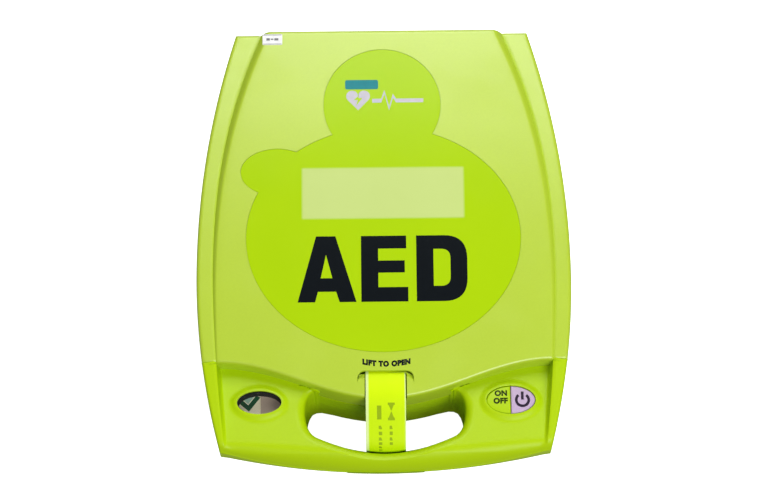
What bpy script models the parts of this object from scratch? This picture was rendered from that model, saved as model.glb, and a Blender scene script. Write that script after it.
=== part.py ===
"""A portable automated external defibrillator, lying on its back with its cover up.

The case is one master body that a designer would draw first: a plan outline, a top surface and an
underside. It is then split into a rear housing, a front housing and a cover, and each is hollowed.
The origin is on the floor under the middle of the case, +X to the right, +Y away from the handle.
"""

import math

import bmesh
import bpy
from mathutils import Matrix, Vector

MM = 0.001
GAP = 0.3 * MM  # clearance between two pieces that touch
ROUND = 28  # sides of a middling round piece

# ---------------------------------------------------------------- driving dimensions
WIDTH = 241 * MM
LENGTH = 292 * MM
HEIGHT = 133 * MM

WALL = 2.6 * MM
FLOOR_Z = 2.0 * MM  # underside of the rear housing, which the feet lift off the floor
PARTING_Z = 66 * MM  # where the rear and front housings meet
COVER_Z = 84 * MM  # where the cover meets the front housing
DECK_Z = 80 * MM  # the panel under the cover

WIDEST_Y = -21.8 * MM
SIDE_RADIUS_UP = 552 * MM
SIDE_RADIUS_DOWN = 418 * MM
COVER_TOP_Y = 142 * MM
CASE_TOP_Y = LENGTH / 2
CASE_END_Y = -LENGTH / 2
CORNER_X = 104 * MM
CORNER_RISE = 11.9 * MM  # how far the lower corners stand back from the middle of that end
END_LEAN = 0.26  # the handle end leans inwards, going down
SIDE_LEAN = 0.08

RAIL_Z = 118.45 * MM
RAIL_SLOPE = 0.108
RAIL_CURVE = 0.312  # per metre
STEP_SLOPE = 0.0253  # the cover's middle rises above its side rails by this much per metre of Y
STEP_START_Y = -92 * MM
FACE_Z = 95 * MM
FACE_SLOPE = -0.0526
ROLL_OFF_Y = -133 * MM  # the handle end's top surface rounds off from here
ROLL_OFF_DROP = 15 * MM

LIP_Y = -78.8 * MM  # the cover's lower edge at its corners
LIP_DEPTH = 23.6 * MM  # how far its tongue hangs below that
LIP_HALF_WIDTH = 107 * MM

HOLE_LOW_Y = -134.8 * MM
HOLE_LOW_CURVE = 5.3  # per metre
HOLE_SIDE_X = 51.3 * MM
HOLE_SIDE_Y = -107.5 * MM
HOLE_TOP_X = 42 * MM
HOLE_LOW_X = 44 * MM
HOLE_LEAN = 9 * MM  # how far the grip bar's inner wall leans over the depth of the hole
HOLE_LEAN_FROM_Z = 95 * MM
HOLE_LEAN_TO_Z = 50 * MM

UNDERSIDE = [(-58, 2), (-96, 44), (-150, 52.5)]  # mm, Y and Z: the grip bar's finger room

LABEL_HEAD = (0, 89.5 * MM, 38.2 * MM, 38.2 * MM)  # centre x and y, half width, half height
LABEL_BODY = (0, 0.6 * MM, 88.4 * MM, 73.6 * MM)
LABEL_EAR = (-68.4 * MM, 44.4 * MM, 23.6 * MM, 15.5 * MM)
LABEL_THICK = 0.5 * MM
LABEL_SINK = 0.1 * MM
POCKET_DEPTH = 0.9 * MM
PANEL_BOX = (-52 * MM, 13.2 * MM, 52 * MM, 46.6 * MM)

NOTCH_HALF = 14.6 * MM
NOTCH_TOP_Y = -84.7 * MM
NOTCH_FLOOR_Z = 97 * MM

PIVOT_Y = 143.6 * MM
PIVOT_Z = 86.6 * MM
PIVOT_X = 60 * MM
PIN_R = 1.5 * MM

WINDOW_AT = (-80.3 * MM, -102.4 * MM)
WINDOW_HALF = (14.2 * MM, 7.8 * MM)
POWER_AT = (80.3 * MM, -102.3 * MM)
POWER_HALF = (15.6 * MM, 9.45 * MM)
COLLAR_HEIGHT = 1.6 * MM
COLLAR_GROW = 4.4 * MM  # how much wider a collar is at its foot

SHOCK_AT = (58 * MM, 74 * MM)
SHOCK_R = 16.5 * MM
SPEAKER_AT = (-58 * MM, 74 * MM)
SPEAKER_R = 21 * MM
DISPLAY_BOX = (-33 * MM, 101 * MM, 33 * MM, 123 * MM)
SOCKET_AT = (-76 * MM, 39 * MM)
SOCKET_HALF = (11 * MM, 6.5 * MM)
OVERLAY_BOX = (-90 * MM, 28 * MM, 90 * MM, 129 * MM)

PACKAGE_BOX = (-82 * MM, -70 * MM, 82 * MM, 22 * MM)
PACKAGE_TOP_Z = 96 * MM
TAB_HALF = 13 * MM
TAB_THICK = 0.8 * MM
TAB_ROUTE = [(-58, 97.2), (-68, 98.6), (-76, 101.2), (-82, 103.2), (-88, 104.8), (-94, 105.8), (-101, 105.5),
             (-110, 103.1), (-120, 99.3), (-128.0, 95.2), (-131.3, 90.5), (-130.8, 84), (-129.2, 76),
             (-127.6, 68)]  # mm, Y and Z

CELL_R = 8.5 * MM
CELL_LENGTH = 34.2 * MM
CELL_PITCH = 17.6 * MM
CELL_ROWS = 5
WELL_BOX = (-37.5 * MM, -22 * MM, 37.5 * MM, 78 * MM)
WELL_TOP_Z = 23.6 * MM
DOOR_MARGIN = 4 * MM
DOOR_THICK = 2.6 * MM
DOOR_TRAVEL = 45 * MM  # how far the door slides towards the top end, in its channel
LATCH_R = 6 * MM
RESET_AT = (20 * MM, 72 * MM)

SCREWS = [(-96, 98), (96, 98), (-106, -6), (106, -6), (-78, -67), (78, -67)]  # mm
BOSS_R = 5.6 * MM
SCREW_HEAD_R = 3.0 * MM
SCREW_SHANK_R = 1.5 * MM
SCREW_SEAT_Z = 54 * MM
FEET = [(-78, 112), (78, 112), (-84, -38), (84, -38)]  # mm
FOOT_R = 8 * MM

FAR = 200 * MM  # further than any piece reaches


# ---------------------------------------------------------------- the master body's formulas
def half_width(y):
    """Half of the case's width at y."""
    radius = SIDE_RADIUS_UP if y > WIDEST_Y else SIDE_RADIUS_DOWN
    return WIDTH / 2 - (y - WIDEST_Y) ** 2 / (2 * radius)


def rail_width(y):
    """Width of the flat rail along each side of the top."""
    if y > 20 * MM:
        return 10.6 * MM + 6.4 * MM * ((y - 20 * MM) / (120 * MM)) ** 2.2
    if y < -34 * MM:
        return 10.6 * MM - 4.6 * MM * ((-34 * MM - y) / (80 * MM)) ** 2
    return 10.6 * MM


def roll_off(y):
    """How far the top surface has dropped near the handle end."""
    reach = min(1.0, max(0.0, (ROLL_OFF_Y - y) / (ROLL_OFF_Y - CASE_END_Y)))
    return ROLL_OFF_DROP * (1 - math.sqrt(1 - reach * reach))


def rail_z(y):
    return RAIL_Z + RAIL_SLOPE * y - RAIL_CURVE * y * y - roll_off(y)


def middle_z(y):
    """The cover's middle, which stands proud of the rails towards the top."""
    return rail_z(y) + STEP_SLOPE * max(0.0, y - STEP_START_Y)


def face_z(y):
    """The sunk face below the cover, with the window and the power key."""
    return min(rail_z(y), FACE_Z + FACE_SLOPE * (y - LIP_Y) - roll_off(y))


def lip_y(x):
    """The cover's lower edge: level at its corners, with a tongue in the middle."""
    if abs(x) > LIP_HALF_WIDTH:
        return LIP_Y
    return LIP_Y - LIP_DEPTH * (1 + math.cos(math.pi * x / LIP_HALF_WIDTH)) / 2


def outline(z, inset=0.0, rear=CASE_TOP_Y):
    """The case's plan outline at height z, as (x, y) points, anticlockwise from its lower right corner."""
    side = inset + SIDE_LEAN * max(0.0, PARTING_Z - z)
    low = CASE_END_Y + inset + END_LEAN * max(0.0, 84 * MM - z)
    top = rear - inset - SIDE_LEAN * max(0.0, PARTING_Z - z)
    corner = CORNER_X
    for _ in range(12):
        corner_y = low + CORNER_RISE * (corner / CORNER_X) ** 2
        corner = half_width(corner_y) - side
    ups = [corner_y + (top - corner_y) * i / 14 for i in range(15)]
    right = [(half_width(y) - side, y) for y in ups]
    across = [corner * (2 * i / 12 - 1) for i in range(1, 12)]
    bottom = [(x, low + CORNER_RISE * (x / CORNER_X) ** 2) for x in across]
    return right + [(-x, y) for x, y in reversed(right)] + bottom


def bezier(p0, p1, p2, p3, count):
    """Points along a cubic curve, without its last one."""
    points = []
    for i in range(count):
        t = i / count
        weights = ((1 - t) ** 3, 3 * t * (1 - t) ** 2, 3 * t * t * (1 - t), t ** 3)
        points.append(tuple(sum(w * p[k] for w, p in zip(weights, (p0, p1, p2, p3))) for k in (0, 1)))
    return points


def hole_outline(grow=0.0, lean=0.0):
    """The hand hole, anticlockwise from its upper right. Its upper wall follows the cover's lip."""
    def upper(x):
        return lip_y(x) + 0.9 * MM + grow

    def lower(x):
        return HOLE_LOW_Y + lean + HOLE_LOW_CURVE * x * x - grow

    side_x = HOLE_SIDE_X + grow
    top = [(HOLE_TOP_X - 2 * HOLE_TOP_X * i / 12, upper(HOLE_TOP_X - 2 * HOLE_TOP_X * i / 12)) for i in range(12)]
    bottom = [(-HOLE_LOW_X + 2 * HOLE_LOW_X * i / 10, lower(-HOLE_LOW_X + 2 * HOLE_LOW_X * i / 10))
              for i in range(10)]
    left_top, left_low = (-HOLE_TOP_X, upper(HOLE_TOP_X)), (-HOLE_LOW_X, lower(HOLE_LOW_X))
    middle = (-side_x, HOLE_SIDE_Y)
    reach = 0.55 * (left_top[1] - HOLE_SIDE_Y)
    left = bezier(left_top, (left_top[0] - 6 * MM, left_top[1] + 1 * MM), (-side_x, HOLE_SIDE_Y + reach), middle, 5)
    left += bezier(middle, (-side_x, HOLE_SIDE_Y - reach), (left_low[0] - 5 * MM, left_low[1] + 2.5 * MM), left_low, 5)
    right = [(-x, y) for x, y in left[1:]] + [(HOLE_LOW_X, lower(HOLE_LOW_X))]
    return top + left + bottom + list(reversed(right))


def ellipse(at, half, sides=ROUND, grow=0.0):
    turns = [2 * math.pi * i / sides for i in range(sides)]
    return [(at[0] + (half[0] + grow) * math.cos(a), at[1] + (half[1] + grow) * math.sin(a)) for a in turns]


def rectangle(box, grow=0.0):
    x0, y0, x1, y1 = box
    return [(x0 - grow, y0 - grow), (x1 + grow, y0 - grow), (x1 + grow, y1 + grow), (x0 - grow, y1 + grow)]


# ---------------------------------------------------------------- modelling helpers
def flatten(bm):
    """Splits the faces that aren't flat, which a Boolean needs."""
    bm.normal_update()
    warped = [face for face in bm.faces if len(face.verts) > 3
              and max(abs((vert.co - face.verts[0].co).dot(face.normal)) for vert in face.verts) > 1e-7]
    bmesh.ops.triangulate(bm, faces=warped)


def loft(rings):
    """A closed mesh through rings of points that all have the same count."""
    bm = bmesh.new()
    rows = [[bm.verts.new(point) for point in ring] for ring in rings]
    for lower, upper in zip(rows, rows[1:]):
        for i in range(len(lower)):
            j = (i + 1) % len(lower)
            bm.faces.new([lower[i], lower[j], upper[j], upper[i]])
    bm.faces.new(list(reversed(rows[0])))
    bm.faces.new(rows[-1])
    bmesh.ops.recalc_face_normals(bm, faces=bm.faces)
    flatten(bm)
    return bm


def prism(points, low, high):
    """points are (x, y). low and high are heights, or functions of (x, y)."""
    def ring(level):
        return [(x, y, level(x, y) if callable(level) else level) for x, y in points]
    return loft([ring(low), ring(high)])


def box(x0, y0, z0, x1, y1, z1):
    return prism(rectangle((x0, y0, x1, y1)), z0, z1)


def tube_x(at, radius, x0, x1, sides=ROUND):
    """A round bar along X, through (y, z) = at."""
    turns = [2 * math.pi * i / sides for i in range(sides)]
    ring = [(at[0] + radius * math.cos(a), at[1] + radius * math.sin(a)) for a in turns]
    return loft([[(x, y, z) for y, z in ring] for x in (x0, x1)])


def round_bar(at, radius, z0, z1, sides=ROUND):
    return prism(ellipse(at, (radius, radius), sides), z0, z1)


def turned(at, steps, sides=ROUND):
    """A piece turned about the vertical: steps are (radius, z) from its bottom to its top."""
    return loft([[(x, y, z) for x, y in ellipse(at, (radius, radius), sides)] for radius, z in steps])


def make(name, bm):
    """Puts a bmesh into the scene as an object."""
    mesh = bpy.data.meshes.new(name)
    bm.to_mesh(mesh)
    bm.free()
    made = bpy.data.objects.new(name, mesh)
    bpy.context.scene.collection.objects.link(made)
    return made


def combine(target, operation, *others):
    """Applies a Boolean with each of the others, which are bmeshes, to target."""
    for other in others:
        tool = make("tool", other)
        modifier = target.modifiers.new("combine", "BOOLEAN")
        modifier.operation = operation
        modifier.solver = "EXACT"
        modifier.object = tool
        graph = bpy.context.evaluated_depsgraph_get()
        result = bpy.data.meshes.new_from_object(target.evaluated_get(graph))
        target.modifiers.clear()
        old, target.data = target.data, result
        bpy.data.meshes.remove(old)
        bpy.data.objects.remove(tool)
    return target


def cut(target, *others):
    return combine(target, "DIFFERENCE", *others)


def add(target, *others):
    return combine(target, "UNION", *others)


def keep(target, *others):
    return combine(target, "INTERSECT", *others)


def slice_along_y(obj, stations):
    """Cuts an edge across the mesh at each station, so that it can follow a curved surface."""
    bm = bmesh.new()
    bm.from_mesh(obj.data)
    for y in stations:
        bmesh.ops.bisect_plane(
            bm, geom=bm.verts[:] + bm.edges[:] + bm.faces[:], dist=1e-7, plane_co=(0, y, 0), plane_no=(0, 1, 0))
    bm.to_mesh(obj.data)
    bm.free()


STATIONS = [CASE_END_Y, -145 * MM, -143 * MM, -140.5 * MM, -137 * MM, ROLL_OFF_Y, -118 * MM, -103 * MM,
            STEP_START_Y] + [-78 * MM + 22 * MM * i for i in range(11)] + [150 * MM]


def between(y, level):
    """level(y), taken straight between the two stations around y, as the faceted case is."""
    for low, high in zip(STATIONS, STATIONS[1:]):
        if low <= y <= high:
            share = (y - low) / (high - low)
            return level(low) * (1 - share) + level(high) * share
    return level(y)


def draped(points, low, high, level=middle_z):
    """A thin piece between low and high, measured from the curved surface that it lies on."""
    piece = make("draped", prism(points, low, high))
    low_y, high_y = min(p[1] for p in points), max(p[1] for p in points)
    slice_along_y(piece, [y for y in STATIONS if low_y < y < high_y])
    for vert in piece.data.vertices:
        vert.co.z += between(vert.co.y, level)
    bm = bmesh.new()
    bm.from_mesh(piece.data)
    flatten(bm)
    bm.to_mesh(piece.data)
    bm.free()
    return piece


def as_tool(obj):
    """The bmesh of an object, which is removed."""
    bm = bmesh.new()
    bm.from_mesh(obj.data)
    bpy.data.objects.remove(obj)
    return bm


def crowned(sunk, drop=0.0):
    """Everything under the top surface. sunk picks the handle end's face, and not the cover's middle."""
    rings = []
    for y in STATIONS:
        edge = half_width(y) - rail_width(y)
        inner_z = face_z(y) if sunk else middle_z(y)
        slope = 1.0 * MM + 0.75 * abs(inner_z - rail_z(y)) * (0.15 if sunk else 1.0)
        side, middle = rail_z(y) - drop, inner_z - drop
        section = [(FAR, side), (edge + drop, side), (edge - slope, middle),
                   (-edge + slope, middle), (-edge - drop, side), (-FAR, side)]
        rings.append([(FAR, y, -FAR)] + [(x, y, z) for x, z in section] + [(-FAR, y, -FAR)])
    return loft(rings)


def plan_body(inset=0.0, rear=CASE_TOP_Y, low=FLOOR_Z, high=150 * MM):
    """The plan outline carried up through the case's whole height."""
    levels = [low, low + 5 * MM, PARTING_Z, 84 * MM, high]
    insets = [inset + 4 * MM, inset, inset, inset, inset]
    return loft([[(x, y, z) for x, y in outline(z, d, rear)] for z, d in zip(levels, insets)])


def under_cut(lift=0.0):
    """What the underside leaves away below the grip bar."""
    profile = [(y * MM, z * MM + lift) for y, z in UNDERSIDE]
    first, last = profile[0], profile[-1]
    ring = [(first[0], -FAR)] + profile + [(last[0] - 50 * MM, last[1]), (last[0] - 50 * MM, -FAR)]
    return loft([[(x, y, z) for y, z in ring] for x in (-FAR, FAR)])


def lip_prism(shift, low, high, inset=-20 * MM):
    """The plan on the cover's side of its lower edge, moved by shift along Y."""
    xs = [-FAR] + [LIP_HALF_WIDTH * (2 * i / 24 - 1) for i in range(25)] + [FAR]
    ring = [(x, lip_y(x) + shift) for x in xs] + [(FAR, FAR - inset), (-FAR, FAR - inset)]
    return prism(ring, low, high)


# ---------------------------------------------------------------- materials
PALETTE = {
    "case_lime": ((0.45, 0.62, 0.02), 0.42, 0.0),
    "cover_lime": ((0.52, 0.70, 0.14), 0.45, 0.0),
    "label_lime": ((0.42, 0.66, 0.01), 0.35, 0.0),
    "panel_pale": ((0.58, 0.72, 0.24), 0.5, 0.0),
    "key_lilac": ((0.50, 0.42, 0.55), 0.45, 0.0),
    "dark_plastic": ((0.03, 0.035, 0.04), 0.5, 0.0),
    "grey_plastic": ((0.30, 0.28, 0.27), 0.5, 0.0),
    "card_cream": ((0.62, 0.60, 0.48), 0.6, 0.0),
    "clear_lens": ((0.55, 0.60, 0.60), 0.08, 0.0),
    "overlay_graphite": ((0.06, 0.07, 0.08), 0.4, 0.0),
    "shock_orange": ((0.85, 0.20, 0.02), 0.35, 0.0),
    "pouch_foil": ((0.72, 0.73, 0.74), 0.4, 0.0),
    "tab_yellow": ((0.70, 0.90, 0.0), 0.4, 0.0),
    "board_green": ((0.02, 0.18, 0.06), 0.5, 0.0),
    "steel": ((0.55, 0.55, 0.56), 0.35, 1.0),
    "rubber": ((0.03, 0.03, 0.03), 0.8, 0.0),
    "cell_wrap": ((0.08, 0.09, 0.30), 0.4, 0.0),
    "copper_coil": ((0.60, 0.28, 0.12), 0.4, 1.0),
}


def material(name):
    found = bpy.data.materials.get(name)
    if found:
        return found
    colour, roughness, metallic = PALETTE[name]
    made = bpy.data.materials.new(name)
    made.use_nodes = True
    shader = made.node_tree.nodes["Principled BSDF"]
    shader.inputs["Base Color"].default_value = (*colour, 1)
    shader.inputs["Roughness"].default_value = roughness
    shader.inputs["Metallic"].default_value = metallic
    return made


def part(name, bm, finish, smooth=False):
    """A named piece. bm may be a bmesh, or an object that is already in the scene."""
    made = make(name, bm) if isinstance(bm, bmesh.types.BMesh) else bm
    made.name = name
    made.data.materials.clear()
    made.data.materials.append(material(finish))
    if smooth:
        made.data.shade_smooth()
        made.data.set_sharp_from_angle(angle=math.radians(35))
    return made


# ---------------------------------------------------------------- the case
def master(name, low, high, sunk, inset=0.0, drop=0.0, rear=CASE_TOP_Y, lift=0.0):
    """The master body between two heights, shrunk by a wall where inset, drop and lift say so."""
    body = make(name, plan_body(inset, rear, low=FLOOR_Z + lift))
    keep(body, crowned(sunk, drop))
    cut(body, under_cut(lift))
    return keep(body, box(-FAR, -FAR, low, FAR, FAR, high))


def hand_hole(grow, z0, z1):
    """The hole's walls. The grip bar's side leans inwards below its front edge, as the case's end does."""
    def lean(z):
        share = (HOLE_LEAN_FROM_Z - z) / (HOLE_LEAN_FROM_Z - HOLE_LEAN_TO_Z)
        return HOLE_LEAN * min(1.0, max(0.0, share))
    levels = sorted({z0, z1, HOLE_LEAN_FROM_Z, HOLE_LEAN_TO_Z})
    levels = [z for z in levels if z0 <= z <= z1]
    return loft([[(x, y, z) for x, y in hole_outline(grow, lean(z))] for z in levels])


def rear_housing():
    shell = master("rear_housing", FLOOR_Z, PARTING_Z, sunk=True)
    hollow = master("hollow", FLOOR_Z, FAR, sunk=True, inset=WALL, lift=WALL)
    cut(hollow, hand_hole(WALL, 0, 150 * MM))
    x0, y0, x1, y1 = WELL_BOX
    cut(hollow, box(x0 - WALL, y0 - WALL, 0, x1 + WALL, y1 + WALL, WELL_TOP_Z + WALL))
    channel = (x0, y0, x1, y1 + DOOR_TRAVEL)
    cut(hollow, prism(rectangle(channel, DOOR_MARGIN + 1.5 * WALL), 0, FLOOR_Z + DOOR_THICK + WALL))
    for x, y in SCREWS:
        cut(hollow, round_bar((x * MM, y * MM), BOSS_R, 0, FAR, 16))
    cut(shell, as_tool(hollow))
    cut(shell, hand_hole(0, 0, 150 * MM))
    # The well, its door's channel, and the reset key's bore.
    cut(shell, box(x0, y0, 0, x1, y1, WELL_TOP_Z))
    cut(shell, prism(rectangle(channel, DOOR_MARGIN + GAP), 0, FLOOR_Z + DOOR_THICK + GAP))
    cut(shell, round_bar(RESET_AT, 3.6 * MM, WELL_TOP_Z - 1 * MM, WELL_TOP_Z + 2 * WALL, 16))
    for x, y in SCREWS:
        at = (x * MM, y * MM)
        cut(shell, round_bar(at, SCREW_HEAD_R + 0.6 * MM, -FAR, SCREW_SEAT_Z, 16))
        cut(shell, round_bar(at, SCREW_SHANK_R + GAP, SCREW_SEAT_Z - 1 * MM, FAR, 12))
    for x, y in FEET:
        cut(shell, round_bar((x * MM, y * MM), FOOT_R + GAP, 0, FLOOR_Z + 1.3 * MM, 20))
    groove = make("groove", prism(outline(PARTING_Z, 0.9 * MM), PARTING_Z - 2 * MM, FAR))
    cut(groove, prism(outline(PARTING_Z, 2.0 * MM), 0, FAR + 1 * MM))
    cut(shell, as_tool(groove))
    return part("rear_housing", shell, "case_lime")


def case_gasket():
    low, high = PARTING_Z - 1.7 * MM, PARTING_Z - 0.1 * MM
    ring = make("case_gasket", prism(outline(PARTING_Z, 1.2 * MM), low, high))
    cut(ring, prism(outline(PARTING_Z, 1.7 * MM), 0, FAR))
    return part("case_gasket", ring, "rubber")


def collar(at, half):
    """A low oval mound round the window or the power key."""
    z = face_z(at[1])
    grown = [(COLLAR_GROW, z - 0.8 * MM), (COLLAR_GROW, z), (1.5 * MM, z + COLLAR_HEIGHT)]
    return loft([[(x, y, level) for x, y in ellipse(at, half, grow=g)] for g, level in grown])


def front_housing():
    low = PARTING_Z + GAP
    shell = master("front_housing", low, FAR, sunk=True)
    cut(shell, lip_prism(0, COVER_Z, FAR))
    cut(shell, box(-FAR, COVER_TOP_Y + GAP, COVER_Z - 0.5 * MM, FAR, FAR, FAR))
    for at, half in ((WINDOW_AT, WINDOW_HALF), (POWER_AT, POWER_HALF)):
        add(shell, collar(at, half))
    # The deck's rim stands up round it, under the cover's wall.
    deck = make("deck", prism(outline(DECK_Z, WALL + 1 * MM, COVER_TOP_Y), DECK_Z, FAR))
    keep(deck, lip_prism(0, 0, 2 * FAR))
    cut(shell, as_tool(deck))
    # Inside: one room, lower under the deck than under the sunk face.
    room = master("room", low - 1 * MM, FAR, sunk=True, inset=WALL, drop=WALL, lift=WALL)
    cut(room, lip_prism(-WALL, DECK_Z - WALL, 2 * FAR))
    cut(room, hand_hole(WALL, 0, 150 * MM))
    for x, y in SCREWS:
        cut(room, round_bar((x * MM, y * MM), BOSS_R, 0, FAR, 16))
    cut(shell, as_tool(room))
    cut(shell, hand_hole(0, 0, 150 * MM))
    for x, y in SCREWS:
        cut(shell, round_bar((x * MM, y * MM), SCREW_SHANK_R + GAP, 0, DECK_Z - WALL, 12))
    # Openings in the deck and in the face.
    cut(shell, round_bar(SHOCK_AT, SHOCK_R + 0.6 * MM, DECK_Z - 5 * MM, FAR))
    cut(shell, round_bar(SPEAKER_AT, SPEAKER_R - 2 * MM, DECK_Z - 5 * MM, FAR))
    cut(shell, round_bar(SPEAKER_AT, SPEAKER_R + GAP, DECK_Z - 1.2 * MM, FAR))
    cut(shell, prism(rectangle(DISPLAY_BOX, -2 * MM), DECK_Z - 5 * MM, FAR))
    cut(shell, prism(rectangle(DISPLAY_BOX, GAP), DECK_Z - 1.2 * MM, FAR))
    sx, sy = SOCKET_AT
    wide, tall = SOCKET_HALF
    cut(shell, box(sx - wide - GAP, sy - tall - GAP, DECK_Z - 5 * MM, sx + wide + GAP, sy + tall + GAP, FAR))
    cut(shell, prism(ellipse(WINDOW_AT, WINDOW_HALF), DECK_Z, FAR))
    cut(shell, prism(ellipse(POWER_AT, POWER_HALF, grow=GAP), DECK_Z, FAR))
    # The infrared window's rebate in the left wall.
    cut(shell, box(-FAR, 26 * MM, 69.7 * MM, -half_width(34 * MM) + 1.6 * MM, 42.6 * MM, 77.3 * MM))
    # Cradles for the cover's pivot pins, open at the top.
    for side in (-1, 1):
        for near, far in ((-8.4, -4.9), (4.9, 8.4)):
            x = side * PIVOT_X
            add(shell, box(x + near * MM, COVER_TOP_Y + 0.5 * MM, COVER_Z - 3 * MM, x + far * MM, CASE_TOP_Y - 0.2 * MM,
                           PIVOT_Z + 1.0 * MM))
        slot = (x - 7.8 * MM, PIVOT_Y - PIN_R - 0.2 * MM, x + 7.8 * MM, PIVOT_Y + PIN_R + 0.2 * MM)
        cut(shell, prism(rectangle(slot), PIVOT_Z - PIN_R - GAP, FAR))
        cut(shell, box(x - 4.9 * MM, COVER_TOP_Y, PIVOT_Z - 3.1 * MM, x + 4.9 * MM, FAR, FAR))
    return part("front_housing", shell, "case_lime")


def cover():
    low = COVER_Z + GAP
    shell = make("cover", plan_body(0, COVER_TOP_Y))
    keep(shell, crowned(sunk=False), lip_prism(GAP, low, 2 * FAR))
    room = make("room", plan_body(WALL, COVER_TOP_Y))
    keep(room, crowned(sunk=False, drop=WALL), lip_prism(GAP + WALL, 0, 2 * FAR))
    cut(shell, as_tool(room))
    cut(shell, box(-NOTCH_HALF, -FAR, NOTCH_FLOOR_Z, NOTCH_HALF, NOTCH_TOP_Y, FAR))
    for at in (LABEL_BODY, LABEL_HEAD, LABEL_EAR):
        pocket = draped(ellipse(at[:2], at[2:], 40, GAP), -POCKET_DEPTH, 5 * MM)
        cut(shell, as_tool(pocket))
    for side in (-1, 1):
        lug = box(side * PIVOT_X - 4.3 * MM, COVER_TOP_Y - 1.5 * MM, PIVOT_Z - 2.1 * MM,
                  side * PIVOT_X + 4.3 * MM, PIVOT_Y + 2.1 * MM, PIVOT_Z + 2.6 * MM)
        add(shell, lug)
        cut(shell, tube_x((PIVOT_Y, PIVOT_Z), PIN_R + 0.2 * MM, side * PIVOT_X - 6 * MM, side * PIVOT_X + 6 * MM, 16))
    return part("cover", shell, "cover_lime")


def label_and_panel():
    label = draped(ellipse(LABEL_BODY[:2], LABEL_BODY[2:], 40), -LABEL_SINK - LABEL_THICK, -LABEL_SINK)
    for at in (LABEL_HEAD, LABEL_EAR):
        more = draped(ellipse(at[:2], at[2:], 40), -LABEL_SINK - LABEL_THICK, -LABEL_SINK)
        add(label, as_tool(more))
    cut(label, prism(rectangle(PANEL_BOX, GAP), 0, FAR))
    part("cover_label", label, "label_lime")
    panel = draped(rectangle(PANEL_BOX), -LABEL_SINK - LABEL_THICK, -LABEL_SINK)
    part("name_panel", panel, "panel_pale")


def pivot_pins():
    for name, side in (("cover_pivot_pin_left", -1), ("cover_pivot_pin_right", 1)):
        x = side * PIVOT_X
        part(name, tube_x((PIVOT_Y, PIVOT_Z), PIN_R, x - 7.5 * MM, x + 7.5 * MM, 16), "steel", smooth=True)


# ---------------------------------------------------------------- controls on the sunk face
def status_window():
    x, y = WINDOW_AT
    z = face_z(y)
    lens = [[(px, py, level) for px, py in ellipse(WINDOW_AT, WINDOW_HALF, grow=g)]
            for g, level in ((-GAP, z - 2.2 * MM), (-GAP, z - 1.0 * MM))]
    part("status_lens", loft(lens), "clear_lens", smooth=True)
    part("status_card", box(x - 17 * MM, y - 10 * MM, z - 12.6 * MM, x + 17 * MM, y + 10 * MM, z - 11.6 * MM), "card_cream")
    shutter = box(x + 0.4 * MM, y - 9.4 * MM, z - 10.6 * MM, x + 15.4 * MM, y + 9.4 * MM, z - 9.8 * MM)
    part("status_shutter", shutter, "grey_plastic")
    coil = make("status_coil", box(x - 12 * MM, y - 8 * MM, z - 25 * MM, x + 12 * MM, y + 8 * MM, z - 13.2 * MM))
    cut(coil, box(x - 8 * MM, y - 20 * MM, z - 23 * MM, x + 8 * MM, y - 6 * MM, z - 15.5 * MM))
    cut(coil, box(x - 8 * MM, y + 6 * MM, z - 23 * MM, x + 8 * MM, y + 20 * MM, z - 15.5 * MM))
    part("status_coil", coil, "copper_coil")


def power_key():
    x, y = POWER_AT
    z = face_z(y)
    top = z + COLLAR_HEIGHT + 0.5 * MM
    steps = [(-2.2 * MM, z - 3.5 * MM), (0, z - 3.5 * MM), (0, top - 0.9 * MM), (-1.2 * MM, top)]
    for name, side, finish in (("power_label_plate", -1, "case_lime"), ("power_button", 1, "key_lilac")):
        half = loft([[(px, py, level) for px, py in ellipse(POWER_AT, POWER_HALF, grow=g)] for g, level in steps[1:]])
        body = make(name, half)
        near, far = sorted((x + side * 0.3 * MM, x + side * FAR))
        keep(body, box(near, -FAR, 0, far, FAR, FAR))
        if side > 0:
            add(body, round_bar((x + 7 * MM, y), 2.5 * MM, z - 6 * MM, z - 1 * MM, 16))
        part(name, body, finish)
    board_z = z - 14 * MM
    part("key_board", box(x - 13 * MM, y - 10 * MM, board_z, x + 16 * MM, y + 10 * MM, board_z + 1.6 * MM), "board_green")
    switch = make("power_switch", box(x + 3.5 * MM, y - 3.5 * MM, board_z + 1.9 * MM, x + 10.5 * MM, y + 3.5 * MM, z - 9 * MM))
    add(switch, round_bar((x + 7 * MM, y), 1.8 * MM, z - 9.5 * MM, z - 7.9 * MM, 12))
    part("power_switch", switch, "dark_plastic")


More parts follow.
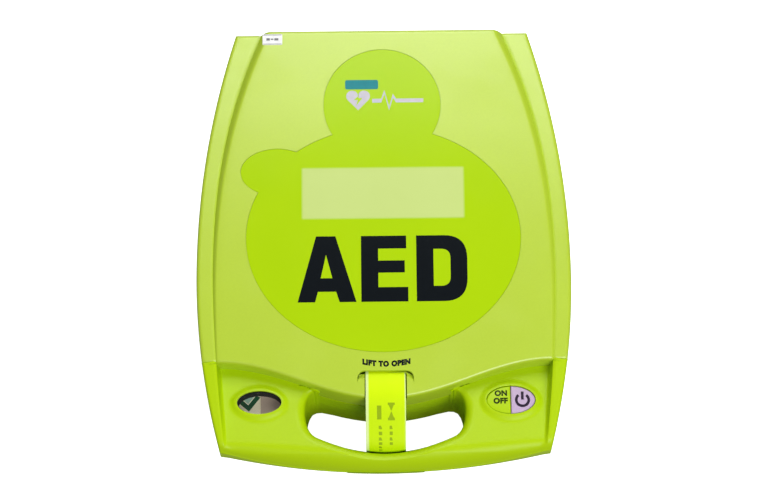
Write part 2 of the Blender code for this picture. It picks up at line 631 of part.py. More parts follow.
# ---------------------------------------------------------------- the panel under the cover
def control_panel():
    overlay = make("control_overlay", prism(rectangle(OVERLAY_BOX), DECK_Z + GAP, DECK_Z + 0.8 * MM))
    cut(overlay, round_bar(SHOCK_AT, SHOCK_R + 5.6 * MM, 0, FAR))
    cut(overlay, round_bar(SPEAKER_AT, SPEAKER_R + 0.6 * MM, 0, FAR))
    cut(overlay, prism(rectangle(DISPLAY_BOX, 0.6 * MM), 0, FAR))
    sx, sy = SOCKET_AT
    wide, tall = SOCKET_HALF
    cut(overlay, box(sx - wide - 2.6 * MM, -FAR, 0, sx + wide + 2.6 * MM, sy + tall + 2.6 * MM, FAR))
    part("control_overlay", overlay, "overlay_graphite")
    window = prism(rectangle(DISPLAY_BOX), DECK_Z - 0.9 * MM, DECK_Z + 0.6 * MM)
    part("display_window", window, "clear_lens")
    part("display_module", prism(rectangle(DISPLAY_BOX, 3 * MM), DECK_Z - 8.4 * MM, DECK_Z - WALL - GAP), "dark_plastic")

    ring = make("shock_button_ring", turned(SHOCK_AT, [(SHOCK_R + 5 * MM, DECK_Z + GAP),
                (SHOCK_R + 5 * MM, DECK_Z + 2.5 * MM), (SHOCK_R + 3 * MM, DECK_Z + 4.5 * MM)]))
    cut(ring, round_bar(SHOCK_AT, SHOCK_R + 0.6 * MM, 0, FAR))
    part("shock_button_ring", ring, "grey_plastic", smooth=True)
    button = turned(SHOCK_AT, [(3 * MM, DECK_Z - 4.2 * MM), (3 * MM, DECK_Z - 2.5 * MM), (SHOCK_R, DECK_Z - 2.5 * MM),
                               (SHOCK_R, DECK_Z + 3.8 * MM), (SHOCK_R - 2 * MM, DECK_Z + 5.2 * MM)])
    part("shock_button", button, "shock_orange", smooth=True)
    switch = make("shock_switch", box(SHOCK_AT[0] - 5 * MM, SHOCK_AT[1] - 5 * MM, DECK_Z - 10.1 * MM,
                                      SHOCK_AT[0] + 5 * MM, SHOCK_AT[1] + 5 * MM, DECK_Z - 5.8 * MM))
    part("shock_switch", switch, "dark_plastic")

    grille = make("speaker_grille", round_bar(SPEAKER_AT, SPEAKER_R, DECK_Z - 0.9 * MM, DECK_Z + 0.5 * MM))
    for i in range(-3, 4):
        reach = math.sqrt((SPEAKER_R - 4 * MM) ** 2 - (i * 5 * MM) ** 2)
        y = SPEAKER_AT[1] + i * 5 * MM
        cut(grille, box(SPEAKER_AT[0] - reach, y - 1.1 * MM, 0, SPEAKER_AT[0] + reach, y + 1.1 * MM, FAR))
    part("speaker_grille", grille, "dark_plastic")
    speaker = turned(SPEAKER_AT, [(12 * MM, DECK_Z - 20 * MM), (12 * MM, DECK_Z - 9.6 * MM), (SPEAKER_R + 2 * MM, DECK_Z - 6 * MM),
                                  (SPEAKER_R + 2 * MM, DECK_Z - WALL - GAP)])
    part("speaker", speaker, "dark_plastic", smooth=True)

    socket = make("connector_socket", box(sx - wide, sy - tall, DECK_Z - 11.5 * MM, sx + wide, sy + tall, DECK_Z + 1 * MM))
    add(socket, box(sx - wide - 2 * MM, sy - tall - 2 * MM, DECK_Z + GAP, sx + wide + 2 * MM, sy + tall + 2 * MM,
                    DECK_Z + 2 * MM))
    cut(socket, box(sx - wide + 2 * MM, sy - tall + 2 * MM, DECK_Z - 9.5 * MM, sx + wide - 2 * MM, sy + tall - 2 * MM, FAR))
    part("connector_socket", socket, "grey_plastic")
    wall_x = -half_width(34 * MM)
    infrared = box(wall_x + 0.6 * MM, 26.4 * MM, 70 * MM, wall_x + 1.3 * MM, 42.2 * MM, 77 * MM)
    part("infrared_window", infrared, "dark_plastic")


def electrode_pads():
    x0, y0, x1, y1 = PACKAGE_BOX
    low = DECK_Z + GAP
    levels = [(3 * MM, low), (0, low + 4 * MM), (3 * MM, low + 10 * MM), (16 * MM, PACKAGE_TOP_Z)]
    pouch = loft([[(x, y, z) for x, y in rectangle(PACKAGE_BOX, -shrink)] for shrink, z in levels])
    part("pads_package", pouch, "pouch_foil")
    route = [Vector((0, y * MM, z * MM)) for y, z in TAB_ROUTE]
    above, below = [], []
    for i, point in enumerate(route):
        along = (route[min(i + 1, len(route) - 1)] - route[max(i - 1, 0)]).normalized()
        normal = Vector((0, along.z, -along.y)) * TAB_THICK / 2
        above.append(point + normal)
        below.append(point - normal)
    rings = [[(side, a.y, a.z), (-side, a.y, a.z), (-side, b.y, b.z), (side, b.y, b.z)]
             for a, b in zip(above, below) for side in (TAB_HALF,)]
    part("pads_pull_tab", loft(rings), "tab_yellow", smooth=True)


# ---------------------------------------------------------------- inside the case
def electronics():
    board = make("main_board", box(-86 * MM, -10 * MM, 68 * MM, 86 * MM, 124 * MM, 69.6 * MM))
    cut(board, round_bar(SPEAKER_AT, 13.5 * MM, 0, FAR))
    cut(board, box(SOCKET_AT[0] - 13 * MM, SOCKET_AT[1] - 9 * MM, 0, SOCKET_AT[0] + 13 * MM, SOCKET_AT[1] + 9 * MM, FAR))
    part("main_board", board, "board_green")
    part("power_board", box(-90 * MM, -28 * MM, 27 * MM, 96 * MM, 92 * MM, 28.6 * MM), "board_green")
    capacitor = make("hv_capacitor", round_bar((0, 0), 17.5 * MM, -40 * MM, 40 * MM))
    capacitor.data.transform(Matrix.Translation((76 * MM, 24 * MM, 47 * MM)) @ Matrix.Rotation(math.pi / 2, 4, "X"))
    part("hv_capacitor", capacitor, "steel", smooth=True)
    transformer = make("transformer", box(-84 * MM, -16 * MM, 29 * MM, -46 * MM, 20 * MM, 58 * MM))
    for y in (-40 * MM, 14 * MM):
        cut(transformer, box(-76 * MM, y, 34 * MM, -54 * MM, y + 30 * MM, 53 * MM))
    part("transformer", transformer, "copper_coil")
    part("relay_block", box(-24 * MM, 40 * MM, 29 * MM, 18 * MM, 74 * MM, 52 * MM), "dark_plastic")
    rings = []
    for i in range(9):
        z = 28.9 * MM + (67.7 - 28.9) * MM * i / 8
        y = 84 * MM + 4 * MM * math.sin(math.pi * i / 8)
        rings.append([(-14 * MM, y, z), (14 * MM, y, z), (14 * MM, y + 0.6 * MM, z), (-14 * MM, y + 0.6 * MM, z)])
    part("board_ribbon_cable", loft(rings), "grey_plastic")


def batteries():
    x0, y0, x1, y1 = WELL_BOX
    middle_z_of_cells = FLOOR_Z + DOOR_THICK + GAP + CELL_R + 0.5 * MM
    for row in range(CELL_ROWS):
        y = y0 + 1.2 * MM + CELL_R + row * CELL_PITCH
        for side in (-1, 1):
            points_right = side * (-1) ** row > 0  # neighbouring cells point opposite ways
            near, far = sorted((side * 1.0 * MM, side * (1.0 * MM + CELL_LENGTH)))
            nub = (far - 0.8 * MM, far) if points_right else (near, near + 0.8 * MM)
            can = (near, far - 0.8 * MM) if points_right else (near + 0.8 * MM, far)
            cell = make("cell", tube_x((y, middle_z_of_cells), CELL_R, *can, 20))
            inner = 0.5 * MM
            add(cell, tube_x((y, middle_z_of_cells), 3 * MM, nub[0] - inner, nub[1] + (0 if points_right else inner), 12)
                if points_right else tube_x((y, middle_z_of_cells), 3 * MM, nub[0], nub[1] + inner, 12))
            part(f"battery_cell_{row * 2 + (side > 0) + 1}", cell, "cell_wrap", smooth=True)
    for name, x in (("battery_contact_left", x0 + GAP), ("battery_contact_right", x1 - GAP - 0.8 * MM)):
        part(name, box(x, y0 + 2 * MM, 7 * MM, x + 0.8 * MM, y0 + 88 * MM, 22 * MM), "steel")
    door = make("battery_door", prism(rectangle(WELL_BOX, DOOR_MARGIN), FLOOR_Z, FLOOR_Z + DOOR_THICK))
    latch_at = (0, y1 + DOOR_MARGIN - 9 * MM)
    cut(door, round_bar(latch_at, LATCH_R + GAP, 0, FLOOR_Z + 1.4 * MM))
    cut(door, round_bar(latch_at, 2.3 * MM, 0, FAR, 16))
    part("battery_door", door, "case_lime")
    latch = make("battery_door_latch", turned(latch_at, [(LATCH_R, FLOOR_Z), (LATCH_R, FLOOR_Z + 1.1 * MM),
                                                         (2 * MM, FLOOR_Z + 1.1 * MM), (2 * MM, FLOOR_Z + 2.5 * MM)]))
    cut(latch, box(-4.6 * MM, latch_at[1] - 0.7 * MM, 0, 4.6 * MM, latch_at[1] + 0.7 * MM, FLOOR_Z + 0.7 * MM))
    part("battery_door_latch", latch, "steel", smooth=True)
    reset = turned(RESET_AT, [(2.6 * MM, 16 * MM), (3.2 * MM, 16.6 * MM), (3.2 * MM, 25.2 * MM)], 16)
    part("battery_reset_button", reset, "rubber", smooth=True)


def fasteners_and_feet():
    for i, (x, y) in enumerate(SCREWS):
        steps = [(SCREW_HEAD_R, SCREW_SEAT_Z - GAP - 2.4 * MM), (SCREW_HEAD_R, SCREW_SEAT_Z - GAP),
                 (SCREW_SHANK_R, SCREW_SEAT_Z - GAP), (SCREW_SHANK_R, 76 * MM)]
        screw = make("screw", turned((x * MM, y * MM), steps, 12))
        for wide, tall in ((1.9, 0.45), (0.45, 1.9)):
            cut(screw, box(x * MM - wide * MM, y * MM - tall * MM, 0, x * MM + wide * MM, y * MM + tall * MM,
                           SCREW_SEAT_Z - 1.4 * MM))
        part(f"case_screw_{i + 1}", screw, "steel", smooth=True)
    for i, (x, y) in enumerate(FEET):
        steps = [(FOOT_R - 1 * MM, 0), (FOOT_R, 1 * MM), (FOOT_R, FLOOR_Z + 1 * MM)]
        part(f"foot_{i + 1}", turned((x * MM, y * MM), steps, 20), "rubber", smooth=True)


def main():
    for obj in list(bpy.data.objects):
        bpy.data.objects.remove(obj)
    rear_housing()
    case_gasket()
    front_housing()
    cover()
    label_and_panel()
    pivot_pins()
    status_window()
    power_key()
    control_panel()
    electrode_pads()
    electronics()
    batteries()
    fasteners_and_feet()


main()
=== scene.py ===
# %% [markdown]
# # An automated external defibrillator
# The device lies on its back with its cover up. The measured frame is loaded first: plain solids that
# carry the joints. Every finished piece is then modelled around them, and rides on one of their bodies.

# %% Load the frame
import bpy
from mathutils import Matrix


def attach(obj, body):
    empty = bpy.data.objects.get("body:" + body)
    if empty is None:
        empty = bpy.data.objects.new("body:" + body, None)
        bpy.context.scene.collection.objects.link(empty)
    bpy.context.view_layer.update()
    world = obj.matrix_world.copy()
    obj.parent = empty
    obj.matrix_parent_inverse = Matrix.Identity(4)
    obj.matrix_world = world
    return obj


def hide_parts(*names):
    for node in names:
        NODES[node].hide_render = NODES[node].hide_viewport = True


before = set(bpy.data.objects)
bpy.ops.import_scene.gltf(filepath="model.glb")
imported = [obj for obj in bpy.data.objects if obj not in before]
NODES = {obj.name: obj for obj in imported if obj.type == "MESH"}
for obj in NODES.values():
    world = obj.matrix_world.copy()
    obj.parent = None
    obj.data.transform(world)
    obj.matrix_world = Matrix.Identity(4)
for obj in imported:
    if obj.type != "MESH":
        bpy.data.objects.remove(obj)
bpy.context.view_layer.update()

import math

import bmesh
import bpy
from mathutils import Matrix, Vector, noise

MM = 0.001
scene = bpy.context.scene

# %% [markdown]
# ## Camera, floor and light
# The view is from above and slightly from the handle end, through a long lens, so that the outline hardly
# narrows with distance. A studio for catalogues would use a lit white table, because it keeps shadows and
# the hand hole pale, and the floor does the same with a little light of its own. One broad panel over the
# hinge end lies in the mirror direction of the cover's upper half, so the grained moulding gets a pale
# sheen there and the label hardly any. A second, in front of the handle, fills the shade below the cover's
# lip, and a third, low behind the hinge, picks out rims. An olive flag lies under the case and keeps light
# from below out of the hand hole, whose walls would look washed out.

# %% Camera
TILT = math.radians(20)  # away from straight down
ROLL = math.radians(-0.6)
DISTANCE = 1.5
AIM = Vector((-0.6 * MM, -3.8 * MM, 105 * MM))
camera = bpy.data.objects.new("camera", bpy.data.cameras.new("camera"))
scene.collection.objects.link(camera)
camera.data.sensor_width = 36
camera.data.lens = 108.3
camera.data.shift_x = 0.0018
camera.data.shift_y = 0.0098
camera.location = AIM + DISTANCE * Vector((0, -math.sin(TILT), math.cos(TILT)))
camera.rotation_euler = (Matrix.Rotation(TILT, 4, "X") @ Matrix.Rotation(ROLL, 4, "Z")).to_euler()
scene.camera = camera
print("camera at", [round(v, 3) for v in camera.location])

# %% Floor, lights and world
def stage_plane(name, across, along, z, colour, glow=0.0):
    """A level rectangle in metres, in a matt paint."""
    bm = bmesh.new()
    bmesh.ops.create_grid(bm, x_segments=1, y_segments=1, size=0.5)
    bmesh.ops.scale(bm, vec=(across, along, 1), verts=bm.verts)
    bmesh.ops.translate(bm, vec=(0, 0, z), verts=bm.verts)
    mesh = bpy.data.meshes.new(name)
    bm.to_mesh(mesh)
    bm.free()
    made = bpy.data.objects.new(name, mesh)
    scene.collection.objects.link(made)
    paint = bpy.data.materials.new(name + "_paint")
    paint.use_nodes = True
    sockets = paint.node_tree.nodes["Principled BSDF"].inputs
    sockets["Base Color"].default_value = (*colour, 1)
    sockets["Roughness"].default_value = 0.9
    sockets["Emission Color"].default_value = (1, 1, 1, 1)
    sockets["Emission Strength"].default_value = glow
    mesh.materials.append(paint)
    return made


floor = stage_plane("floor", 8, 8, 0, (0.93, 0.93, 0.93), 0.85)
floor.visible_diffuse = floor.visible_glossy = False  # the glowing table doesn't light the case from below
flag = stage_plane("flag", 0.235, 0.28, -0.5 * MM, (0.34, 0.27, 0.05))
flag.visible_camera = False


def panel_light(name, place, target, size, watts):
    """A square soft light at place that faces target."""
    lamp = bpy.data.objects.new(name, bpy.data.lights.new(name, "AREA"))
    lamp.data.size = size
    lamp.data.energy = watts
    lamp.location = place
    lamp.rotation_euler = (Vector(target) - Vector(place)).to_track_quat("-Z", "Y").to_euler()
    scene.collection.objects.link(lamp)
    return lamp


panel_light("key_panel", (0.55, -1.15, 1.35), (0, -0.02, 0.1), 0.9, 22.5)
panel_light("sheen_panel", (0.04, 0.80, 1.35), (0, 0.05, 0.1), 0.8, 12)
panel_light("rim_panel", (0.35, 1.60, 0.75), (0, -0.05, 0.1), 0.7, 5)
world = bpy.data.worlds.new("studio")
world.use_nodes = True
world.node_tree.nodes["Background"].inputs["Color"].default_value = (1, 1, 1, 1)
world.node_tree.nodes["Background"].inputs["Strength"].default_value = 0.28
scene.world = world
scene.view_settings.view_transform = "Standard"

# %% [markdown]
# ## Finishes
# Each material is a small tree of nodes. Writing the maths as Python sums keeps a recipe readable, so one
# class wraps a socket and turns +, - and * into Math nodes, and one method adds every other node.
# Patterns read Object coordinates, in metres, so a noise scale of 1000 means grains about a millimetre apart.


# %% The shader helper
class Wire:
    """A socket of a material, on which sums can be written."""

    def __init__(self, paint, socket):
        self.paint, self.socket = paint, socket

    def math(self, operation, *others):
        return self.paint.node("ShaderNodeMath", {"operation": operation}, (self, *others))

    def __add__(self, other):
        return self.math("ADD", other)

    def __mul__(self, other):
        return self.math("MULTIPLY", other)

    def __sub__(self, other):
        return self.math("SUBTRACT", other)

    def __rsub__(self, other):
        return self * -1 + other

    __radd__ = __add__
    __rmul__ = __mul__


class Paint:
    """A material under construction."""

    def __init__(self, name, colour, roughness, metallic=0.0, **fixed):
        self.material = bpy.data.materials.new(name)
        self.material.use_nodes = True
        self.tree = self.material.node_tree
        self.shader = self.tree.nodes["Principled BSDF"]
        self.set("Base Color", (*colour, 1))
        self.set("Roughness", roughness)
        self.set("Metallic", metallic)
        for socket, value in fixed.items():
            self.set(socket.replace("_", " "), value)
        self.place = self.node("ShaderNodeTexCoord", {}, {}, "Object")

    def node(self, kind, settings, sockets, output=0):
        """Adds a node: its settings first, then its sockets by name or in order."""
        made = self.tree.nodes.new(kind)
        for key, value in settings.items():
            setattr(made, key, value)
        named = sockets.items() if isinstance(sockets, dict) else enumerate(sockets)
        for key, value in named:
            if isinstance(value, Wire):
                self.tree.links.new(value.socket, made.inputs[key])
            else:
                made.inputs[key].default_value = value
        return Wire(self, made.outputs[output])

    def set(self, socket, value):
        """Gives a socket of the shader a value or a wire."""
        if isinstance(value, Wire):
            self.tree.links.new(value.socket, self.shader.inputs[socket])
        else:
            self.shader.inputs[socket].default_value = value

    def noise(self, scale, detail=2.0, roughness=0.5, place=None):
        return self.node("ShaderNodeTexNoise", {}, {
            "Vector": place or self.place, "Scale": scale, "Detail": detail, "Roughness": roughness})

    def stretched(self, scale, turn=(0, 0, 0)):
        return self.node("ShaderNodeMapping", {}, {"Vector": self.place, "Scale": scale, "Rotation": turn})

    def ramp(self, value, low, high):
        """0 below low and 1 above high."""
        return self.node("ShaderNodeMapRange", {"clamp": True}, {0: value, 1: low, 2: high})

    def mix(self, factor, a, b, blend="MIX"):
        """Two colours mixed. The sockets are the Mix node's for colours."""
        settings = {"data_type": "RGBA", "blend_type": blend}
        return self.node("ShaderNodeMix", settings, {0: factor, 6: a, 7: b}, 2)

    def axes(self):
        """The x and y of each point, in metres."""
        x = self.node("ShaderNodeSeparateXYZ", {}, {0: self.place})
        return x, Wire(self, x.socket.node.outputs[1])

    def cells(self, scale, settings, randomness=1.0):
        return self.node("ShaderNodeTexVoronoi", settings, {
            "Vector": self.place, "Scale": scale, "Randomness": randomness})

    def bump(self, height, distance, strength=1.0, under=None):
        inputs = {"Height": height, "Distance": distance, "Strength": strength}
        if under:
            inputs["Normal"] = under
        return self.node("ShaderNodeBump", {}, inputs)


print("shader helper ready")

# %% [markdown]
# ## Moulded plastic
# The case, the cover and most small parts are injection mouldings. Real ones have a fine spark-eroded grain
# from the mould, colour that drifts by a few percent where the melt cooled at different speeds, and rub
# marks that change the gloss more than the colour. One recipe covers them all, with its numbers as arguments.


# %% Plastic recipe
def shade(colour, factor):
    return (*[min(1.0, c * factor) for c in colour], 1)


def plastic(name, colour, roughness, grain=0.00005, grain_scale=2600, drift=0.05, rub=0.10, **fixed):
    """A moulded plastic with a fine grain, slight colour drift and rubbed patches."""
    paint = Paint(name, colour, roughness, **fixed)
    cloud = paint.noise(14, 3)
    speckle = paint.noise(900, 2)
    tone = paint.mix(cloud, shade(colour, 1 - drift), shade(colour, 1 + drift))
    tone = paint.mix(speckle * 0.16, tone, shade(colour, 0.9), "MULTIPLY")
    paint.set("Base Color", tone)
    hair = paint.ramp(paint.noise(1, 3, place=paint.stretched((60, 1500, 60), (0, 0, 0.6))), 0.62, 0.72)
    rubbed = paint.ramp(paint.noise(26, 4, 0.6), 0.5, 0.75)
    paint.set("Roughness", roughness + rubbed * rub - hair * 0.03)
    pits = paint.noise(grain_scale, 4, 0.6)
    paint.set("Normal", paint.bump(pits, grain))
    return paint.material


FINISH = {
    "cover": plastic("cover_lime", (0.44, 0.595, 0.022), 0.34, Specular_IOR_Level=0.78),
    "case": plastic("case_lime", (0.42, 0.61, 0.001), 0.34, Specular_IOR_Level=0.18),
    "dark": plastic("dark_plastic", (0.028, 0.030, 0.034), 0.5, drift=0.12),
    "grey": plastic("grey_plastic", (0.28, 0.265, 0.255), 0.48),
    "lilac": plastic("key_lilac", (0.52, 0.39, 0.57), 0.42, drift=0.03, Specular_IOR_Level=0.3),
}
print("plastics:", sorted(FINISH))

# %% [markdown]
# ## The case's lines
# The case was drawn from a few curves: a side that bulges like a barrel stave, a top that falls from the
# hinge end to the handle, and a cover whose lower edge hangs in a smooth tongue. Writing them as functions
# of position gives every piece that touches the surface the same surface to lie on.

# %% Formulas of the case
TOP_Y, END_Y = 142 * MM, -146 * MM
COVER_Z, PARTING_Z = 84 * MM, 66 * MM  # the cover's foot, and where the two housings meet
LIP_Y, LIP_DEPTH, LIP_HALF = -78.8 * MM, 23.6 * MM, 107 * MM
CORNER_X, CORNER_RISE = 104 * MM, 11.9 * MM
WIDEST, WIDEST_Y = 120.5 * MM, -21.8 * MM
BOW_TOP, BOW_HANDLE = 0.552, 0.418  # radii of the sides, towards the hinge end and the handle
RAIL_WIDTH, GROOVE = 10.6 * MM, 0.45 * MM
GAP = 0.3 * MM


def half_width(y):
    """Half of the case's width at y."""
    return WIDEST - (y - WIDEST_Y) ** 2 / (2 * (BOW_TOP if y > WIDEST_Y else BOW_HANDLE))


def rail_width(y):
    """Width of the flat rail along each side of the top."""
    if y > 20 * MM:
        return RAIL_WIDTH + 6.4 * MM * ((y - 20 * MM) / (120 * MM)) ** 2.2
    return RAIL_WIDTH - 4.6 * MM * (max(0, -34 * MM - y) / (80 * MM)) ** 2


def rail_z(y):
    return 118.45 * MM + 0.108 * y - 0.312 * y * y


def lip_y(x):
    """The cover's lower edge: level at its corners, with a tongue in the middle."""
    reach = min(abs(x), LIP_HALF) / LIP_HALF
    return LIP_Y - LIP_DEPTH * (1 + math.cos(math.pi * reach)) / 2


def rise(y):
    """How far the cover's middle stands above its rails."""
    return 0.0253 * max(0.0, y + 92 * MM)


def plateau_z(y):
    return rail_z(y) + rise(y)


def slope_width(y):
    return 1.2 * MM + 0.9 * rise(y)


def cover_z(x, y):
    """Height of the cover: rail, shallow groove, slope and flat middle."""
    edge = half_width(y) - rail_width(y)
    inwards = edge - abs(x)
    if inwards <= 0:
        return rail_z(y) - GROOVE * max(0.0, 1 + inwards / (1.0 * MM))
    share = min(1.0, inwards / slope_width(y))
    return rail_z(y) + rise(y) * math.sin(share * math.pi / 2) - GROOVE * (1 - share) ** 2


print("width at its widest:", round(2 * half_width(WIDEST_Y) / MM, 1), "mm")

# %% [markdown]
# ## Helpers for sheets and rims
# Most of the case is a sheet whose border turns over into a wall. Extruding the border a little at a time,
# outwards and downwards along a quarter circle, makes the rounded edge and the wall in one go. It needs the
# border as an ordered ring, and a mitred outward direction at each of its points.


# %% Mesh helpers
def verts_of(geom):
    """The vertices in what a bmesh operator returns."""
    return [g for g in geom if isinstance(g, bmesh.types.BMVert)]


def everything(bm):
    return bm.verts[:] + bm.edges[:] + bm.faces[:]


def slice_at(bm, place, normal):
    """Adds a row of edges where a plane crosses the mesh."""
    bmesh.ops.bisect_plane(bm, geom=everything(bm), plane_co=place, plane_no=normal)


def thicken(bm, faces, height):
    """Raises a copy of some flat faces and walls it down to them."""
    made = bmesh.ops.extrude_face_region(bm, geom=faces, use_keep_orig=True)["geom"]
    bmesh.ops.translate(bm, vec=(0, 0, height), verts=verts_of(made))
    bmesh.ops.recalc_face_normals(bm, faces=bm.faces)
    return bm


def smoothed(obj, degrees):
    """Shades an object smooth, but for the edges sharper than an angle."""
    obj.data.shade_smooth()
    obj.data.set_sharp_from_angle(angle=math.radians(degrees))
    return obj


def piece(name, bm, finish, body, replaced=(), smooth=35):
    """Puts a bmesh into the scene as a finished piece that rides on a body."""
    mesh = bpy.data.meshes.new(name)
    bm.to_mesh(mesh)
    bm.free()
    made = bpy.data.objects.new(name, mesh)
    scene.collection.objects.link(made)
    mesh.materials.append(finish if not isinstance(finish, str) else FINISH[finish])
    if smooth:
        smoothed(made, smooth)
    if body:
        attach(made, body)
    if replaced:
        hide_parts(*replaced)
    return made


def border(bm):
    """The vertices round an open sheet, in order, anticlockwise seen from above."""
    edges = [e for e in bm.edges if e.is_boundary]
    ring, at, came = [], edges[0].verts[0], None
    while not ring or at is not ring[0]:
        ring.append(at)
        came = next(e for e in at.link_edges if e.is_boundary and e is not came)
        at = came.other_vert(at)
    area = sum(a.co.x * b.co.y - b.co.x * a.co.y for a, b in zip(ring, ring[1:] + ring[:1]))
    return ring if area > 0 else ring[::-1]


def outward(points, closed=True):
    """The mitred outward direction in plan at each point of an anticlockwise ring."""
    result = []
    count = len(points)
    for i, point in enumerate(points):
        before = points[i - 1] if closed or i else point
        after = points[(i + 1) % count] if closed or i < count - 1 else point
        ahead = Vector((after.x - point.x, after.y - point.y))
        back = Vector((point.x - before.x, point.y - before.y))
        ahead = ahead.normalized() if ahead.length > 1e-9 else back.normalized()
        back = back.normalized() if back.length > 1e-9 else ahead
        total = Vector((ahead.y + back.y, -ahead.x - back.x)).normalized()
        mitre = max(0.7, total.dot(Vector((ahead.y, -ahead.x))))
        result.append(Vector((total.x, total.y, 0)) / mitre)
    return result


def extrude_ring(bm, ring, targets, closed=True):
    """Extrudes an ordered row of vertices to new places, and returns the new row."""
    pairs = list(zip(ring, ring[1:] + (ring[:1] if closed else [])))
    edges = [bm.edges.get(pair) for pair in pairs if bm.edges.get(pair)]
    made = bmesh.ops.extrude_edge_only(bm, edges=edges)["geom"]
    strap_tone = {tuple(v.co): v for v in verts_of(made)}
    row = [strap_tone[tuple(v.co)] for v in ring]
    for vert, target in zip(row, targets):
        vert.co = target
    return row


def quarter(steps):
    """(outwards, downwards) shares of a rounded edge, from its top to its side."""
    return [(math.sin(a), 1 - math.cos(a)) for a in (math.pi / 2 * (i + 1) / steps for i in range(steps))]


def freeze(obj):
    """Applies an object's modifiers."""
    graph = bpy.context.evaluated_depsgraph_get()
    mesh = bpy.data.meshes.new_from_object(obj.evaluated_get(graph))
    obj.modifiers.clear()
    old, obj.data = obj.data, mesh
    bpy.data.meshes.remove(old)
    return obj


def carve(obj, cutter, operation="DIFFERENCE"):
    """Cuts a bmesh away from an object."""
    mesh = bpy.data.meshes.new("cutter")
    cutter.to_mesh(mesh)
    cutter.free()
    tool = bpy.data.objects.new("cutter", mesh)
    scene.collection.objects.link(tool)
    modifier = obj.modifiers.new("carve", "BOOLEAN")
    modifier.operation, modifier.solver, modifier.object = operation, "EXACT", tool
    freeze(obj)
    bpy.data.objects.remove(tool)
    bpy.data.meshes.remove(mesh)
    return obj


def walls(obj, thickness, even=True):
    """Gives a sheet its thickness, inwards."""
    modifier = obj.modifiers.new("walls", "SOLIDIFY")
    modifier.thickness, modifier.offset, modifier.use_even_offset = thickness, -1, even
    return freeze(obj)


def soften(obj, width, segments=3, angle=35):
    """Rounds an object's edges."""
    modifier = obj.modifiers.new("soften", "BEVEL")
    modifier.width, modifier.segments, modifier.profile = width, segments, 0.5
    modifier.limit_method, modifier.angle_limit = "ANGLE", math.radians(angle)
    modifier.use_clamp_overlap = True
    modifier.harden_normals = True
    return obj


print("mesh helpers ready")

# %% [markdown]
# ## The cover
# The cover is one moulding that lifts off: a flat middle between two rails, a soft slope between them, and
# a lower edge that hangs in a tongue. It could be lofted from cross-sections, but a grid that is bent to
# the formulas keeps its rows along the slope, so the valley beside each rail stays crisp.

# %% Cover sheet
MIDDLE, SLOPE, RAIL, ROWS = 44, 6, 9, 96  # grid columns of each stretch, and rows
COVER_ROUND, COVER_WALL, FOOT_ROUND = 2.4 * MM, 2.2 * MM, 0.5 * MM
CROWDING = 1.15  # rows lie closer together towards the hinge end


def across(column, y):
    """x of a grid column at y: flat middle, slope, then rail."""
    edge = half_width(y) - rail_width(y)
    foot = edge - slope_width(y)
    rim = half_width(y) - COVER_ROUND
    side = 1 if column >= 0 else -1
    column = abs(column)
    if column <= MIDDLE / 2:
        return side * foot * column / (MIDDLE / 2)
    column -= MIDDLE / 2
    if column <= SLOPE:
        return side * (foot + (edge - foot) * column / SLOPE)
    return side * (edge + (rim - edge) * (column - SLOPE) / RAIL)


columns = MIDDLE + 2 * (SLOPE + RAIL)
bm = bmesh.new()
bmesh.ops.create_grid(bm, x_segments=columns, y_segments=ROWS, size=1)
for vert in bm.verts:
    column = vert.co.x * columns / 2
    share = 1 - (1 - (vert.co.y + 1) / 2) ** CROWDING
    y = 0.0
    for _ in range(5):
        x = across(column, y)
        low = lip_y(x) + COVER_ROUND
        y = low + (TOP_Y - COVER_ROUND - low) * share
    vert.co = (x, y, cover_z(x, y))
ring = border(bm)
spread = outward([v.co.copy() for v in ring])
start = [v.co.copy() for v in ring]
for out, down in quarter(5):
    ring = extrude_ring(bm, ring, [p + d * COVER_ROUND * out - Vector((0, 0, COVER_ROUND * down))
                                   for p, d in zip(start, spread)])
ring = extrude_ring(bm, ring, [Vector((v.co.x, v.co.y, 0.5 * (v.co.z + COVER_Z))) for v in ring])
ring = extrude_ring(bm, ring, [Vector((v.co.x, v.co.y, COVER_Z + GAP + FOOT_ROUND)) for v in ring])
ring = extrude_ring(bm, ring, [Vector((v.co.x, v.co.y, COVER_Z + GAP)) - d * FOOT_ROUND
                               for v, d in zip(ring, spread)])
bmesh.ops.recalc_face_normals(bm, faces=bm.faces)
cover = piece("cover_shell", bm, "cover", "cover_lid", ["cover"], smooth=0)
walls(cover, COVER_WALL)
print("cover faces:", len(cover.data.polygons))

# %% [markdown]
# ## The finger scoop and the pull tab's slot
# The tab comes out through a slot in the cover's tongue, with a shallow scoop either side for finger and
# thumb. Both are cut from the finished moulding, as a slide in the mould would leave them.


# %% Slot and scoop
def block(x0, y0, z0, x1, y1, z1, corner=0.0):
    """A box as a bmesh, with its upright corners rounded."""
    bm = bmesh.new()
    bmesh.ops.create_cube(bm, size=1)
    bmesh.ops.scale(bm, vec=(x1 - x0, y1 - y0, z1 - z0), verts=bm.verts)
    bmesh.ops.translate(bm, vec=((x0 + x1) / 2, (y0 + y1) / 2, (z0 + z1) / 2), verts=bm.verts)
    if corner:
        upright = [e for e in bm.edges if abs(e.verts[0].co.z - e.verts[1].co.z) > 1e-6]
        bmesh.ops.bevel(bm, geom=upright, offset=corner, affect="EDGES", segments=6, profile=0.5, material=-1)
    return bm


